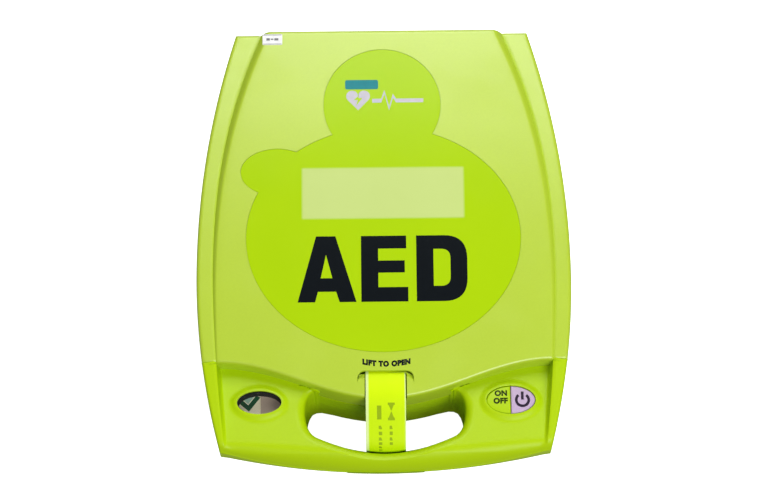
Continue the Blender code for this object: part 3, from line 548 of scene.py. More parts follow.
SLOT_X, SLOT_TOP, SLOT_HALF = 0.5 * MM, -84.7 * MM, 13.4 * MM
SCOOP_HALF, SCOOP_DEPTH = 18 * MM, 1.9 * MM
SLOT_LOW, SKY = 96 * MM, 140 * MM  # heights under the tongue and above everything
scoop = block(SLOT_X - SCOOP_HALF, -130 * MM, 0, SLOT_X + SCOOP_HALF, SLOT_TOP, 20 * MM, corner=5 * MM)
for vert in scoop.verts:
    y = vert.co.y
    if vert.co.z > 1 * MM:
        vert.co.z = SKY
    elif y > -100 * MM:
        depth = SCOOP_DEPTH if y > -90.5 * MM else 0.0
        vert.co.z = plateau_z(y) - depth - 0.5 * MM
    else:
        vert.co.z = plateau_z(y) + 24 * MM  # the scoop's floor climbs out of the tongue
carve(cover, scoop)
slot_cut = block(SLOT_X - SLOT_HALF, -140 * MM, SLOT_LOW, SLOT_X + SLOT_HALF, SLOT_TOP - 0.9 * MM, SKY,
                 corner=1.5 * MM)
carve(cover, slot_cut)
print("cover after the slot:", len(cover.data.polygons))

# %% [markdown]
# ## The cover's label
# A printed film fills a shallow pocket: a large oval, a round head over it and a small lobe at the left. It
# could be traced as one outline, but three discs joined by a Boolean keep their true curves. The film is
# sliced across the slope, so that it can follow the cover's fall.

# %% Film outline
DISCS = [((0, 0.6), (88.4, 73.6)), ((0, 89.5), (38.2, 38.2)), ((-68.4, 44.4), (23.6, 15.5))]  # mm


def disc(at, half, low, high, grow=0.0, sides=144):
    """An oval plate in mm, between two heights in metres."""
    bm = bmesh.new()
    bmesh.ops.create_cone(bm, cap_ends=True, segments=sides, radius1=1, radius2=1, depth=1)
    bmesh.ops.scale(bm, vec=((half[0] + grow) * MM, (half[1] + grow) * MM, high - low), verts=bm.verts)
    bmesh.ops.translate(bm, vec=(at[0] * MM, at[1] * MM, (low + high) / 2), verts=bm.verts)
    return bm


def drape(bm, surface, step=4 * MM, across_too=False):
    """Slices a flat mesh and lays it on a surface, keeping its own heights above it."""
    for axis in (1, 0) if across_too else (1,):
        spots = [v.co[axis] for v in bm.verts]
        normal = Vector((0, 1, 0)) if axis else Vector((1, 0, 0))
        for i in range(int((max(spots) - min(spots)) / step)):
            slice_at(bm, normal * (min(spots) + step * (i + 0.5)), normal)
    for vert in bm.verts:
        vert.co.z += surface(vert.co.x, vert.co.y)
    return bm


def film(low, high, grow):
    """The three discs as one bmesh."""
    base = piece("film", disc(*DISCS[0], low, high, grow), "grey", None, smooth=0)
    for at, half in DISCS[1:]:
        carve(base, disc(at, half, low, high, grow), "UNION")
    bm = bmesh.new()
    bm.from_mesh(base.data)
    bpy.data.objects.remove(base)
    return bm


def on_cover(_, y):
    return plateau_z(y)


FILM_TOP, FILM_UNDER, POCKET = -0.12 * MM, -0.70 * MM, -0.75 * MM  # below the cover's surface
POCKET_ROOM = 0.22  # mm round the film
carve(cover, drape(film(POCKET, 4 * MM, POCKET_ROOM), on_cover))
smoothed(cover, 32)
print("cover with its pocket:", len(cover.data.polygons))

# %% [markdown]
# The film is reverse-printed polyester: a clean lime, a little more saturated than the moulding, with a
# satin face. A pale panel for the owner's name is part of the print, with a slightly soft border, so it
# belongs in the film's material, as a mask made from the distance to a rectangle.

# %% Film material
def label_finish():
    paint = Paint("label_lime", (0.40, 0.60, 0.003), 0.22, Specular_IOR_Level=0.15)
    x, y = paint.axes()
    inside_x = paint.ramp(x.math("ABSOLUTE"), 53.0 * MM, 51.4 * MM)
    inside_y = paint.ramp((y - 29.9 * MM).math("ABSOLUTE"), 17.5 * MM, 16.0 * MM)
    panel = inside_x * inside_y
    cloud = paint.noise(18, 3)
    lime = paint.mix(cloud, (0.355, 0.57, 0.0005, 1), (0.395, 0.605, 0.002, 1))
    pale = paint.mix(cloud, (0.49, 0.61, 0.18, 1), (0.53, 0.65, 0.215, 1))
    paint.set("Base Color", paint.mix(panel, lime, pale))
    rubbed = paint.ramp(paint.noise(30, 4, 0.6), 0.5, 0.8)
    paint.set("Roughness", 0.22 + rubbed * 0.06 + panel * 0.08)
    fine = paint.bump(paint.noise(3200, 3), 0.00002)
    paint.set("Normal", paint.bump(paint.noise(60, 2), 0.0002, 0.25, fine))
    return paint.material


FINISH["label"] = label_finish()
label = piece("label_film", drape(film(FILM_UNDER, FILM_TOP, 0), on_cover), "label", "cover_lid",
              ["cover_label", "name_panel"], smooth=30)
print("film faces:", len(label.data.polygons))

# %% [markdown]
# ## Printed marks
# The cover's words and signs are ink, a few hundredths of a millimetre thick. A flat curve fills its own
# outlines and leaves its inner ones open, so each letter is a few straight and rounded outlines, made a
# mesh, given a thin body, and laid on the film.


# %% Stencils
def to_bmesh(data, thickness=0.07 * MM):
    """The filled mesh of a curve or text, with a thin body."""
    holder = bpy.data.objects.new("holder", data)
    scene.collection.objects.link(holder)
    graph = bpy.context.evaluated_depsgraph_get()
    mesh = bpy.data.meshes.new_from_object(holder.evaluated_get(graph))
    bpy.data.objects.remove(holder)
    bm = bmesh.new()
    bm.from_mesh(mesh)
    bpy.data.meshes.remove(mesh)
    bmesh.ops.remove_doubles(bm, verts=bm.verts, dist=1e-6)
    bmesh.ops.recalc_face_normals(bm, faces=bm.faces)
    if bm.faces and sum(f.normal.z for f in bm.faces) < 0:
        bmesh.ops.reverse_faces(bm, faces=bm.faces)
    return thicken(bm, bm.faces[:], thickness)


def stencil(loops, thickness=0.07 * MM):
    """A thin body filled between outlines in mm. An outline inside another is a hole."""
    data = bpy.data.curves.new("outlines", "CURVE")
    data.dimensions, data.fill_mode = "2D", "BOTH"
    for loop in loops:
        spline = data.splines.new("POLY")
        spline.points.add(len(loop) - 1)
        for point, (x, y) in zip(spline.points, loop):
            point.co = (x * MM, y * MM, 0, 1)
        spline.use_cyclic_u = True
    return to_bmesh(data, thickness)


def rounded(points, radii, steps=6):
    """An outline in mm whose corners are rounded by quadratic curves."""
    loop = []
    for i, (point, radius) in enumerate(zip(points, radii)):
        if not radius:
            loop.append(point)
            continue
        here, before, after = Vector(point), Vector(points[i - 1]), Vector(points[(i + 1) % len(points)])
        a = here + (before - here).normalized() * radius
        b = here + (after - here).normalized() * radius
        for k in range(steps + 1):
            t = k / steps
            loop.append(tuple(a * (1 - t) ** 2 + here * 2 * t * (1 - t) + b * t * t))
    return loop


def oblong(x0, y0, x1, y1, corner=0.0):
    """A rectangle in mm."""
    return rounded([(x0, y0), (x1, y0), (x1, y1), (x0, y1)], [corner] * 4)


def arc(radius, start, sweep, count, at=(0, 0)):
    """Points round a circle, in mm, from a start angle through a sweep, both in radians."""
    turns = [start + sweep * k / count for k in range(count + 1)]
    return [(radius * math.cos(a) + at[0], radius * math.sin(a) + at[1]) for a in turns]


def circle(radius, at=(0, 0), count=48):
    return arc(radius, 0, math.tau, count, at)[:-1]


def printed(name, bm, finish, lift, place, body="cover_lid", surface=on_cover, turn=0.0, step=4 * MM):
    """Puts a stencil at place, in mm, on a surface."""
    bmesh.ops.rotate(bm, matrix=Matrix.Rotation(turn, 3, "Z"), verts=bm.verts)
    bmesh.ops.translate(bm, vec=(place[0] * MM, place[1] * MM, lift), verts=bm.verts)
    return piece(name, drape(bm, surface, step, True), finish, body, smooth=0)


def ink(name, colour, roughness=0.24, metallic=0.0, glow=0.0):
    """Screen-printed ink: even, with a slightly ragged gloss. A little glow is painted light, for a card in a
    deep window's shade.
    """
    paint = Paint(name, colour, roughness, metallic, Specular_IOR_Level=0.15, Emission_Color=(*colour, 1),
                  Emission_Strength=glow)
    paint.set("Base Color", paint.mix(paint.noise(300, 3), shade(colour, 0.85), shade(colour, 1.15)))
    paint.set("Roughness", roughness + (paint.noise(700, 3) - 0.5) * 0.12)
    paint.set("Normal", paint.bump(paint.noise(2400, 2), 0.00001))
    return paint.material


FINISH["ink"] = ink("ink_black", (0.003, 0.005, 0.007))
FINISH["silver"] = ink("ink_silver", (0.44, 0.42, 0.47), 0.38, 0.2)
FINISH["teal"] = ink("ink_teal", (0.0, 0.20, 0.23))
FINISH["white"] = ink("sticker_white", (0.80, 0.80, 0.80), 0.5)
FINISH["ash"] = ink("ink_grey", (0.16, 0.16, 0.17), 0.5)
print("stencils ready")

# %% [markdown]
# The three large letters name the kind of device. They are heavy plain capitals with straight sides; only
# the D has round corners.

# %% Large letters
BASE_LINE, CAP_HEIGHT = -41.1, 42.6  # mm
LETTERS = {
    "letter_a": [[(-55.3, 0), (-43.4, CAP_HEIGHT), (-30.9, CAP_HEIGHT), (-17.6, 0), (-28.4, 0), (-30.6, 6.7),
                  (-42.3, 6.7), (-44.1, 0)], [(-40.5, 15.4), (-33.0, 15.4), (-37.0, 30.6)]],
    "letter_e": [[(-14.5, 0), (15.6, 0), (15.6, 9.3), (-3.5, 9.3), (-3.5, 18.7), (13.5, 18.7), (13.5, 26.5),
                  (-3.5, 26.5), (-3.5, 34.3), (14.6, 34.3), (14.6, CAP_HEIGHT), (-14.5, CAP_HEIGHT)]],
    "letter_d": [rounded([(21.0, 0), (53.7, 0), (53.7, CAP_HEIGHT), (21.0, CAP_HEIGHT)], [0, 15, 15, 0], 10),
                 rounded([(32.0, 9.8), (42.9, 9.8), (42.9, 33.8), (32.0, 33.8)], [0, 6, 6, 0], 8)],
}
for name, loops in LETTERS.items():
    printed(name, stencil([[(x, y + BASE_LINE) for x, y in loop] for loop in loops]), "ink", FILM_TOP, (0, 0))
print("letters:", len(LETTERS))


# %% Small words
def words(text, height, bold=0.0, spacing=1.0):
    """A word as a bmesh, centred, its capitals height mm tall."""
    data = bpy.data.curves.new("words", "FONT")
    data.body, data.align_x, data.align_y = text, "CENTER", "CENTER"
    data.size, data.offset, data.space_character = height * MM / 0.7, bold * MM, spacing
    return to_bmesh(data, 0.06 * MM)


WORDS_HALF, WORDS_SAG = 15.3 * MM, 1.6 * MM  # the words follow the tongue's curve
lift_words = words("LIFT TO OPEN", 3.05, 0.36, 1.16)
widest = max(abs(v.co.x) for v in lift_words.verts)
for vert in lift_words.verts:
    vert.co.x *= WORDS_HALF / widest
    vert.co.y += WORDS_SAG * (vert.co.x / WORDS_HALF) ** 2 - 1.0 * MM
printed("words_lift_to_open", lift_words, "ink", 0.0, (1.1, -79.8))
print("words laid on the cover")

# %% [markdown]
# Where a maker would print a name, this cover has signs that mean a defibrillator anywhere: a heart with a
# bolt in it, a trace of a heartbeat, and a plain bar. A white sticker with grey lines stands for the asset
# tag near the hinge end.

# %% Signs
def heart(width, at=(0, 0)):
    """A heart outline in mm, from two arcs that meet in a point."""
    r = width / 4
    right = arc(r, math.pi, -1.25 * math.pi, 16, (r, 0))
    left = [(-x, y) for x, y in reversed(right[1:])]
    return [(x + at[0], y + at[1]) for x, y in right + [(0, -width * 0.62)] + left]


def bolt(size, at=(0, 0)):
    shape = [(0.12, 0.5), (-0.30, -0.06), (-0.02, -0.06), (-0.14, -0.5), (0.30, 0.08), (0.03, 0.08)]
    return [(x * size + at[0], y * size + at[1]) for x, y in shape]


def pulse(points, width):
    """A broken line of even width, as an outline in mm."""
    upper = [(x, y + width / 2) for x, y in points]
    return upper + [(x, y - width / 2) for x, y in reversed(points)]


BEAT = [(-6.4, 92.2), (-0.5, 92.2), (1.6, 98.2), (4.6, 86.8), (7.2, 95.6), (9.2, 92.2), (27.0, 92.2)]
signs = {
    "sign_heart": [heart(15.5, (-15.6, 95.4)), bolt(9.5, (-15.6, 93.4))],
    "sign_pulse": [pulse(BEAT, 2.6)],
}
printed("sign_bar", stencil([oblong(-24, 100.2, -2.4, 106.6, 1.4)]), "teal", FILM_TOP, (0, 0))
for name, loops in signs.items():
    printed(name, stencil(loops), "silver", FILM_TOP, (0, 0), step=3 * MM)
STICKER_TOP = 0.12 * MM
sticker = stencil([oblong(-78.2, 131.8, -65.2, 139.4, 0.8)], STICKER_TOP)
printed("asset_sticker", sticker, "white", 0, (0, 0), step=2 * MM)
marks = [oblong(-75.6, 134.9, -73.4, 136.5), oblong(-72.8, 135.4, -71.0, 136.2),
         oblong(-70.4, 134.9, -67.8, 136.5)]
marks += [oblong(-77.7, low, -65.7, low + 0.4) for low in (132.2, 138.6)]
printed("asset_sticker_lines", stencil(marks), "ash", STICKER_TOP, (0, 0), step=2 * MM)
print("signs laid on the cover")

# %% [markdown]
# ## The grip
# Below the cover the front housing is a sunk face between two rails, with a hand hole through it and a round
# bar along its end. The face is a grid bent into a C round the hole: one side of the grid is the hole's rim,
# the other the case's edge, and both are then rolled over into walls. A Boolean hole in a flat face would
# leave a sharp rim, and this one has to be kind to fingers.


# %% Outlines of the grip
def bezier(p0, p1, p2, p3, count):
    """Points along a cubic curve, without its last."""
    points = []
    for i in range(count):
        t = i / count
        points.append(p0 * (1 - t) ** 3 + p1 * 3 * t * (1 - t) ** 2 + p2 * 3 * t * t * (1 - t) + p3 * t ** 3)
    return points


CAP, FLOOR_COUNT = 36, 60  # grid columns round each end of the hole, and along its lower side
HOLE_LOW, HOLE_HALF, HOLE_BOW = -134.8 * MM, 44 * MM, 5.3  # lowest y, half its lower side, and its curve
HOLE_TOP_X, HOLE_SIDE = 42 * MM, Vector((51.3 * MM, -107.5 * MM))


def hole_rim(lean=0.0):
    """The hand hole from its upper right corner, clockwise to its upper left one."""
    def low(x):
        return Vector((x, HOLE_LOW + lean + HOLE_BOW * x * x))
    top, foot = Vector((HOLE_TOP_X, lip_y(HOLE_TOP_X))), low(HOLE_HALF)
    pull = Vector((0, 0.55 * (top.y - HOLE_SIDE.y)))
    right = bezier(top, top + Vector((6 * MM, 1 * MM)), HOLE_SIDE + pull, HOLE_SIDE, CAP // 2)
    right += bezier(HOLE_SIDE, HOLE_SIDE - pull, foot + Vector((5 * MM, 2.5 * MM)), foot, CAP // 2)
    bottom = [low(HOLE_HALF * (1 - 2 * i / FLOOR_COUNT)) for i in range(FLOOR_COUNT)]
    return right + bottom + [Vector((-p.x, p.y)) for p in reversed(right + [foot])]


def end_arc(x):
    return END_Y + CORNER_RISE * (x / CORNER_X) ** 2


def mound(x, y, at, half):
    """1 on the collar round a window or key, 0 away from it."""
    dx, dy = x - at[0] * MM, y - at[1] * MM
    size = math.hypot(dx / (half[0] * MM), dy / (half[1] * MM))
    if size < 1e-6:
        return 1.0
    past = math.hypot(dx, dy) * (1 - 1 / size) - COLLAR_FLAT
    share = min(1.0, max(0.0, past / COLLAR_RUN))
    return 1 - share * share * (3 - 2 * share)


WINDOW_AT, WINDOW_HALF = (-80.3, -102.4), (14.2, 7.8)  # mm
POWER_AT, POWER_HALF = (80.3, -102.3), (15.6, 9.45)
COLLAR, COLLAR_FLAT, COLLAR_RUN = 1.9 * MM, 1.0 * MM, 3.8 * MM
FACE_Z, FACE_FALL = 95 * MM, 0.0526  # the sunk face at the lip, and its slope
WALL_RUN = 2.6 * MM  # of the wall up to a rail
NOSE, NOSE_LOSS = 13, 7  # mm of rounding at the handle's end, and how much less at its corners


def face_z(y):
    return min(rail_z(y), FACE_Z - FACE_FALL * (y - LIP_Y))


def grip_z(x, y):
    """Height of the grip's top: rails, sunk face, collars and the rounded end."""
    edge = half_width(y) - rail_width(y)
    share = min(1.0, max(0.0, (edge - abs(x)) / WALL_RUN))
    z = rail_z(y) + (face_z(y) - rail_z(y)) * (1 - (1 - share) ** 2)
    z += COLLAR * max(mound(x, y, WINDOW_AT, WINDOW_HALF), mound(x, y, POWER_AT, POWER_HALF))
    reach = (NOSE - NOSE_LOSS * (x / CORNER_X) ** 4) * MM
    past = min(1.0, max(0.0, 1 - (y - end_arc(x)) / reach))
    return z - 1.15 * reach * (1 - math.sqrt(1 - past * past))


# %% Grip sheet
SIDE_ROUND, END_ROUND, RIM_ROUND, GRIP_WALL = 2.2 * MM, 0.5 * MM, 5.5 * MM, 1.6 * MM
INNER_ROWS, WALL_ROWS, RAIL_ROWS = 34, 5, 5
CORNER_Y = -133.6 * MM
WALL_LIFTS = (3.4 * MM, 2.2 * MM, 0)  # how far the wall's foot, its top and the edge lie from the case's end
rim = hole_rim()
inward = outward([Vector((p.x, p.y, 0)) for p in rim], closed=False)
columns = len(rim)


def rim_round(i):
    """The hole's rim is sharp where it meets the cover's lip."""
    reach = min(i, columns - 1 - i) / (CAP * 0.45)
    return RIM_ROUND * (0.04 + 0.96 * min(1.0, reach) ** 0.8)


def border_points(i):
    """Foot of the rail's wall, its top and the case's edge, for one grid column."""
    if CAP <= i <= columns - 1 - CAP:
        side = 1 - 2 * (i - CAP) / (columns - 1 - 2 * CAP)
        edge = half_width(CORNER_Y) - rail_width(CORNER_Y)
        xs = [side * (edge - WALL_RUN), side * edge, side * (half_width(CORNER_Y) - SIDE_ROUND)]
        return [Vector((x, max(end_arc(xs[2]) + END_ROUND + lift, END_Y))) for x, lift in zip(xs, WALL_LIFTS)]
    side = 1 if i < CAP else -1
    share = (i if i < CAP else columns - 1 - i) / CAP
    low = end_arc(half_width(CORNER_Y) - SIDE_ROUND) + END_ROUND
    y = LIP_Y + (low - LIP_Y) * share
    edge = half_width(y) - rail_width(y)
    return [Vector((side * x, y + lift * share ** 3)) for x, lift in
            zip((edge - WALL_RUN, edge, half_width(y) - SIDE_ROUND), WALL_LIFTS)]


bm = bmesh.new()
rows = INNER_ROWS + WALL_ROWS + RAIL_ROWS
bmesh.ops.create_grid(bm, x_segments=columns - 1, y_segments=rows, size=1)
grid_place = {}
for vert in bm.verts:
    i = round((vert.co.x + 1) / 2 * (columns - 1))
    j = round((vert.co.y + 1) / 2 * rows)
    start = rim[i] - inward[i].xy * rim_round(i)
    foot, top, edge = border_points(i)
    if j <= INNER_ROWS:
        spot = start.lerp(foot, j / INNER_ROWS)
    elif j <= INNER_ROWS + WALL_ROWS:
        spot = foot.lerp(top, (j - INNER_ROWS) / WALL_ROWS)
    else:
        spot = top.lerp(edge, (j - INNER_ROWS - WALL_ROWS) / RAIL_ROWS)
    beside_lip = max(0.0, 1 - min(i, columns - 1 - i) / (CAP * 0.8)) ** 2
    ends = border_points(0 if i < columns / 2 else columns - 1)
    first = rim[0 if i < columns / 2 else -1]
    past_rim = (abs(spot.x) - abs(first.x)) / (abs(ends[2].x) - abs(first.x))
    if past_rim > 0:
        straight = first.y + (ends[2].y - first.y) * min(1.0, past_rim)
        spot = Vector((spot.x, spot.y + (lip_y(spot.x) - straight) * beside_lip))
    vert.co = (spot.x, spot.y, grip_z(spot.x, spot.y))
    grid_place[tuple(vert.co)] = (i, j)
print("grip columns:", columns, "rows:", rows)

# %% Grip walls
ring = border(bm)
spots = [grid_place[tuple(v.co)] for v in ring]
base = [v.co.copy() for v in ring]
low_rim = hole_rim(0.2 * (FACE_Z - PARTING_Z))
STEP_Z, STEP_IN = 84 * MM, 2.35 * MM  # below this height the case's end steps in
out_dirs = outward([Vector((p.x, p.y, 0)) for p in base])
for out, down in quarter(6):
    targets = []
    for (i, j), point, away in zip(spots, base, out_dirs):
        if j == 0:
            r = rim_round(i)
            targets.append(point + Vector((inward[i].x, inward[i].y, 0)) * r * out - Vector((0, 0, r * down)))
        elif j == rows:
            at_end = CAP < i < columns - 1 - CAP
            r = END_ROUND if at_end else SIDE_ROUND
            along, fall = (r, 3 * r) if at_end else (0.3 * r, r)
            targets.append(point + Vector((away.x * r * out, away.y * along * out, -fall * down)))
        else:
            targets.append(point - Vector((0, 0, 0.4 * MM * down)))
    ring = extrude_ring(bm, ring, targets)
for z in (STEP_Z, 75 * MM, PARTING_Z + GAP):
    targets = []
    for (i, j), vert in zip(spots, ring):
        x, y = vert.co.x, vert.co.y
        if j == 0:
            x, y = rim[i].lerp(low_rim[i], (FACE_Z - z) / (FACE_Z - PARTING_Z))
        elif j == rows:
            near_end = min(1.0, min(i, columns - 1 - i) / CAP) ** 2
            y += STEP_IN * near_end if z < STEP_Z else 0.0
            if near_end < 1 or abs(x) > half_width(y):
                x = math.copysign(half_width(y), x)
        targets.append(Vector((x, y, z)))
    ring = extrude_ring(bm, ring, targets)
bmesh.ops.recalc_face_normals(bm, faces=bm.faces)
grip = piece("grip_shell", bm, "case", "case", ["front_housing"], smooth=0)
walls(grip, GRIP_WALL, even=False)
for at, half, grow in ((WINDOW_AT, WINDOW_HALF, 0.0), (POWER_AT, POWER_HALF, 0.1)):
    carve(grip, disc(at, half, 70 * MM, 130 * MM, grow, 96))
smoothed(grip, 40)
print("grip faces:", len(grip.data.polygons))

# %% [markdown]
# ## The front deck and the rear shell
# The rest of the front housing is a flat deck that the cover closes on, and the rear shell is a deep tub.
# Both have the right shape in the measured frame, so a clean copy of each solid is taken, its loose triangles
# are merged, and every edge gets the radius that a moulding tool has.


# %% Copies of the frame's solids
def solid_of(node):
    """A copy of one of the frame's solids, as a clean closed bmesh."""
    bm = bmesh.new()
    bm.from_mesh(NODES[node].data)
    bmesh.ops.remove_doubles(bm, verts=bm.verts, dist=0.005 * MM)
    bmesh.ops.dissolve_limit(bm, angle_limit=math.radians(0.6), verts=bm.verts, edges=bm.edges)
    return bm


def refined(node, finish, body, width=0.4 * MM, segments=2, smooth=35):
    """A frame solid with its edges rounded and a finish of its own."""
    copy = piece(node + "_finished", solid_of(node), finish, body, [node], smooth)
    return soften(copy, width, segments)


def plate(outline, low, high):
    """A prism over an outline in metres."""
    bm = bmesh.new()
    face = bm.faces.new([bm.verts.new((x, y, low)) for x, y in outline])
    return thicken(bm, [face], high - low)


deck = piece("front_deck", solid_of("front_housing"), "case", "case", [], smooth=0)
behind_lip = [(x * MM, lip_y(x * MM) + 0.1 * MM) for x in range(-130, 131, 2)]
behind_lip += [(130 * MM, 150 * MM), (-130 * MM, 150 * MM)]
carve(deck, plate(behind_lip, 60 * MM, 120 * MM), "INTERSECT")
soften(smoothed(deck, 35), 0.7 * MM, 2, 40)
rear = refined("rear_housing", "case", "case", 1.1 * MM, 3, 40)
print("deck faces:", len(deck.data.polygons), "rear faces:", len(rear.data.polygons))

# %% [markdown]
# ## The pull tab
# A strap of coated polyester webbing is welded to the pad pouch, comes out through the cover's slot, hangs
# in front of the hand hole and is tucked inside the grip. It is a strip bent along a smooth path, with a
# paler edge on either side, part heat-cut edge and part painted highlight, a painted shade that darkens its
# lower end, and a few small printed signs. A flat grid along the path is enough.


# %% Strap
def smooth_path(points, steps):
    """A Catmull-Rom curve through points."""
    path = []
    for i in range(len(points) - 1):
        p0, p1, p2, p3 = (points[max(0, min(len(points) - 1, i + k))] for k in (-1, 0, 1, 2))
        for k in range(steps):
            t = k / steps
            path.append(0.5 * (2 * p1 + (p2 - p0) * t + (2 * p0 - 5 * p1 + 4 * p2 - p3) * t * t
                               + (3 * p1 - p0 - 3 * p2 + p3) * t ** 3))
    return path + [points[-1]]


STRAP_X, STRAP_HALF, STRAP_THICK = 0.4 * MM, 13.0 * MM, 0.8 * MM
STRAP_POINTS = [  # y and z in mm: from the pouch, over the lip, and down the grip's inner wall
    (-58, 97.2), (-68, 98.6), (-76, 101.2), (-82, 103.2), (-88, 104.8), (-94, 105.8), (-101, 105.5),
    (-110, 103.1), (-120, 99.6), (-128.9, 95.6), (-132.3, 90.3), (-131.2, 84), (-129.6, 76), (-127.8, 68)]
ROUTE = smooth_path([Vector((y * MM, z * MM)) for y, z in STRAP_POINTS], 6)
STRAP_CROWN, TAIL_BOW, TAIL_FROM = 0.25 * MM, 0.9 * MM, 0.69  # TAIL_FROM is a share of the route


def strap_spot(u, v, lift=0.0):
    """A point of the strap: u along the route from 0 to 1, v across from -1 to 1."""
    at = u * (len(ROUTE) - 1)
    i = min(int(at), len(ROUTE) - 2)
    spot = ROUTE[i].lerp(ROUTE[i + 1], at - i)
    ahead = (ROUTE[i + 1] - ROUTE[i]).normalized()
    tail = min(1.0, max(0.0, (u - TAIL_FROM) * 10))  # the end lies against the grip's curved wall
    crown = lift - STRAP_CROWN * abs(v) ** 4 + TAIL_BOW * tail * (1 - v * v)
    return Vector((STRAP_X + v * (STRAP_HALF - 0.2 * MM), spot.x + ahead.y * crown, spot.y - ahead.x * crown))


def webbing():
    paint = Paint("strap_lime", (0.60, 0.84, 0.006), 0.42, Specular_IOR_Level=0.1)
    x, y = paint.axes()
    # Both edges are paler: partly the heat-cut edge, partly a painted highlight. The band is wider on the
    # left.
    side = paint.ramp((x - (STRAP_X + 0.6 * MM)).math("ABSOLUTE"), 11.2 * MM, 12.0 * MM)
    weave = paint.node("ShaderNodeTexWave", {"bands_direction": "X"}, {"Vector": paint.place, "Scale": 420.0,
                       "Distortion": 0.6}, 1)
    # Painted shade: the strap's colour darkens towards its lower end.
    painted_shade_lower = paint.ramp(y, -92 * MM, -112 * MM)
    strap_tone = paint.mix(paint.noise(60, 3), (0.61, 0.82, 0.0, 1), (0.68, 0.90, 0.002, 1))
    base = paint.mix(painted_shade_lower, strap_tone, (0.53, 0.76, 0.001, 1))
    base = paint.mix(weave * 0.10, base, (0.40, 0.62, 0.0, 1))
    paint.set("Base Color", paint.mix(side, base, (0.66, 0.80, 0.34, 1)))
    paint.set("Roughness", 0.42 + paint.noise(200, 3) * 0.2 - side * 0.08)
    paint.set("Normal", paint.bump(weave, 0.00006, 0.6))
    return paint.material


def along_strap(bm, lift):
    """Lays a flat bmesh on the strap: its y, from 0 to 1, runs along and its x, from -1 to 1, across."""
    for vert in bm.verts:
        vert.co = strap_spot(vert.co.y, vert.co.x, lift + vert.co.z)
    return bm


FINISH["strap"] = webbing()
FINISH["olive"] = ink("ink_olive", (0.27, 0.40, 0.0), 0.5)
bm = bmesh.new()
bmesh.ops.create_grid(bm, x_segments=24, y_segments=120, size=0.5)
bmesh.ops.scale(bm, vec=(2, 1, 1), verts=bm.verts)
bmesh.ops.translate(bm, vec=(0, 0.5, 0), verts=bm.verts)
along_strap(bm, STRAP_THICK / 2)
bm.normal_update()
if sum(f.normal.z for f in bm.faces) < 0:
    bmesh.ops.reverse_faces(bm, faces=bm.faces)
strap = piece("pull_strap", bm, "strap", "case", ["pads_pull_tab"], smooth=0)
walls(strap, STRAP_THICK, even=True)
soften(smoothed(strap, 50), 0.3 * MM, 2, 60)
print("strap length:", round(sum((b - a).length for a, b in zip(ROUTE, ROUTE[1:])) / MM), "mm")

# %% [markdown]
# ## The status window
# A small window shows a green tick while the self-test passes, and a shutter slides across to bare a red
# cross when it fails. The window is a dark well with a clear lens, over a printed card. The well's black wall
# is partly painted shade, and the card, a pale patch and the shutter glow a little, which is painted light.


# %% Finishes of the window
def glass(name, colour, alpha, roughness=0.06):
    paint = Paint(name, colour, roughness, Alpha=alpha, Coat_Weight=0.2, Coat_Roughness=0.05)
    smear = paint.ramp(paint.noise(45, 4), 0.45, 0.75)
    paint.set("Roughness", roughness + smear * 0.12)
    paint.set("Base Color", paint.mix(smear, shade(colour, 1.0), shade(colour, 1.25)))
    paint.set("Normal", paint.bump(paint.noise(90, 2), 0.00004, 0.4))
    return paint.material


# The well's wall is black: partly a real dark bezel, partly painted shade that stands for the dark inside a
# deep window.
FINISH["well_painted_shade"] = plastic("well_black_painted_shade", (0.006, 0.008, 0.010), 0.6, Specular_IOR_Level=0.2)
FINISH["lens"] = glass("clear_lens", (0.05, 0.055, 0.05), 0.07)
# The card glows a little: painted light that lifts it out of the well's shade.
FINISH["card_painted_glow"] = ink("card_cream", (0.93, 0.86, 0.62), 0.6, glow=0.20)
FINISH["tick"] = ink("ink_green", (0.008, 0.13, 0.045), 0.5)
# The pale patch glows a little: painted light inside the well's shade.
FINISH["mint_painted_glow"] = ink("ink_mint_painted_glow", (0.34, 0.55, 0.42), 0.5, glow=0.15)
FINISH["cross"] = ink("ink_red", (0.55, 0.02, 0.02), 0.5)
# The shutter glows a little: painted light that lifts it out of the well's shade.
FINISH["shutter"] = plastic("shutter_brown_painted_glow", (0.50, 0.40, 0.31), 0.6, Emission_Color=(0.50, 0.38, 0.30, 1),
                            Emission_Strength=0.13)


# %% Window parts
def level(height):
    """A flat surface at a height in mm."""
    return lambda x, y: height * MM


def tube(at, half, low, high, thickness, grow=0.0):
    """An oval tube in mm, as a bmesh."""
    bm = disc(at, half, low * MM, high * MM, grow, 72)
    caps = [f for f in bm.faces if len(f.verts) > 4]
    bmesh.ops.inset_region(bm, faces=caps, thickness=thickness * MM, use_boundary=True)
    bmesh.ops.delete(bm, geom=[f for f in bm.faces if len(f.verts) > 4], context="FACES_ONLY")
    bmesh.ops.bridge_loops(bm, edges=[e for e in bm.edges if e.is_boundary])
    bmesh.ops.recalc_face_normals(bm, faces=bm.faces)
    return bm


WINDOW_TOP, CARD_Z, WELL_LOW = 96.4, 84.66, 86.7  # mm
well = tube(WINDOW_AT, WINDOW_HALF, WELL_LOW, WINDOW_TOP, 0.5, -0.05)
soften(piece("status_well", well, "well_painted_shade", "case", []), 0.15 * MM, 2)
lens = disc(WINDOW_AT, WINDOW_HALF, 94.0 * MM, 95.2 * MM, -0.6, 72)
piece("status_glass", lens, "lens", "case", ["status_lens"])
TICK_AT, CROSS_AT = (-87.6, -104.6), (-73.0, -100.4)
tick = [(0, 0), (7.4, 9.4), (4.4, 10.4), (-0.5, 4.2), (-4.3, 7.8), (-6.4, 5.6)]
shine = [(-0.5, 4.9), (3.4, 10.0), (-3.2, 10.4), (-4.0, 8.2)]
ARM, HALF_ARM = 3.9, 1.5  # mm
corner = [(ARM, HALF_ARM), (HALF_ARM, HALF_ARM), (HALF_ARM, ARM)]
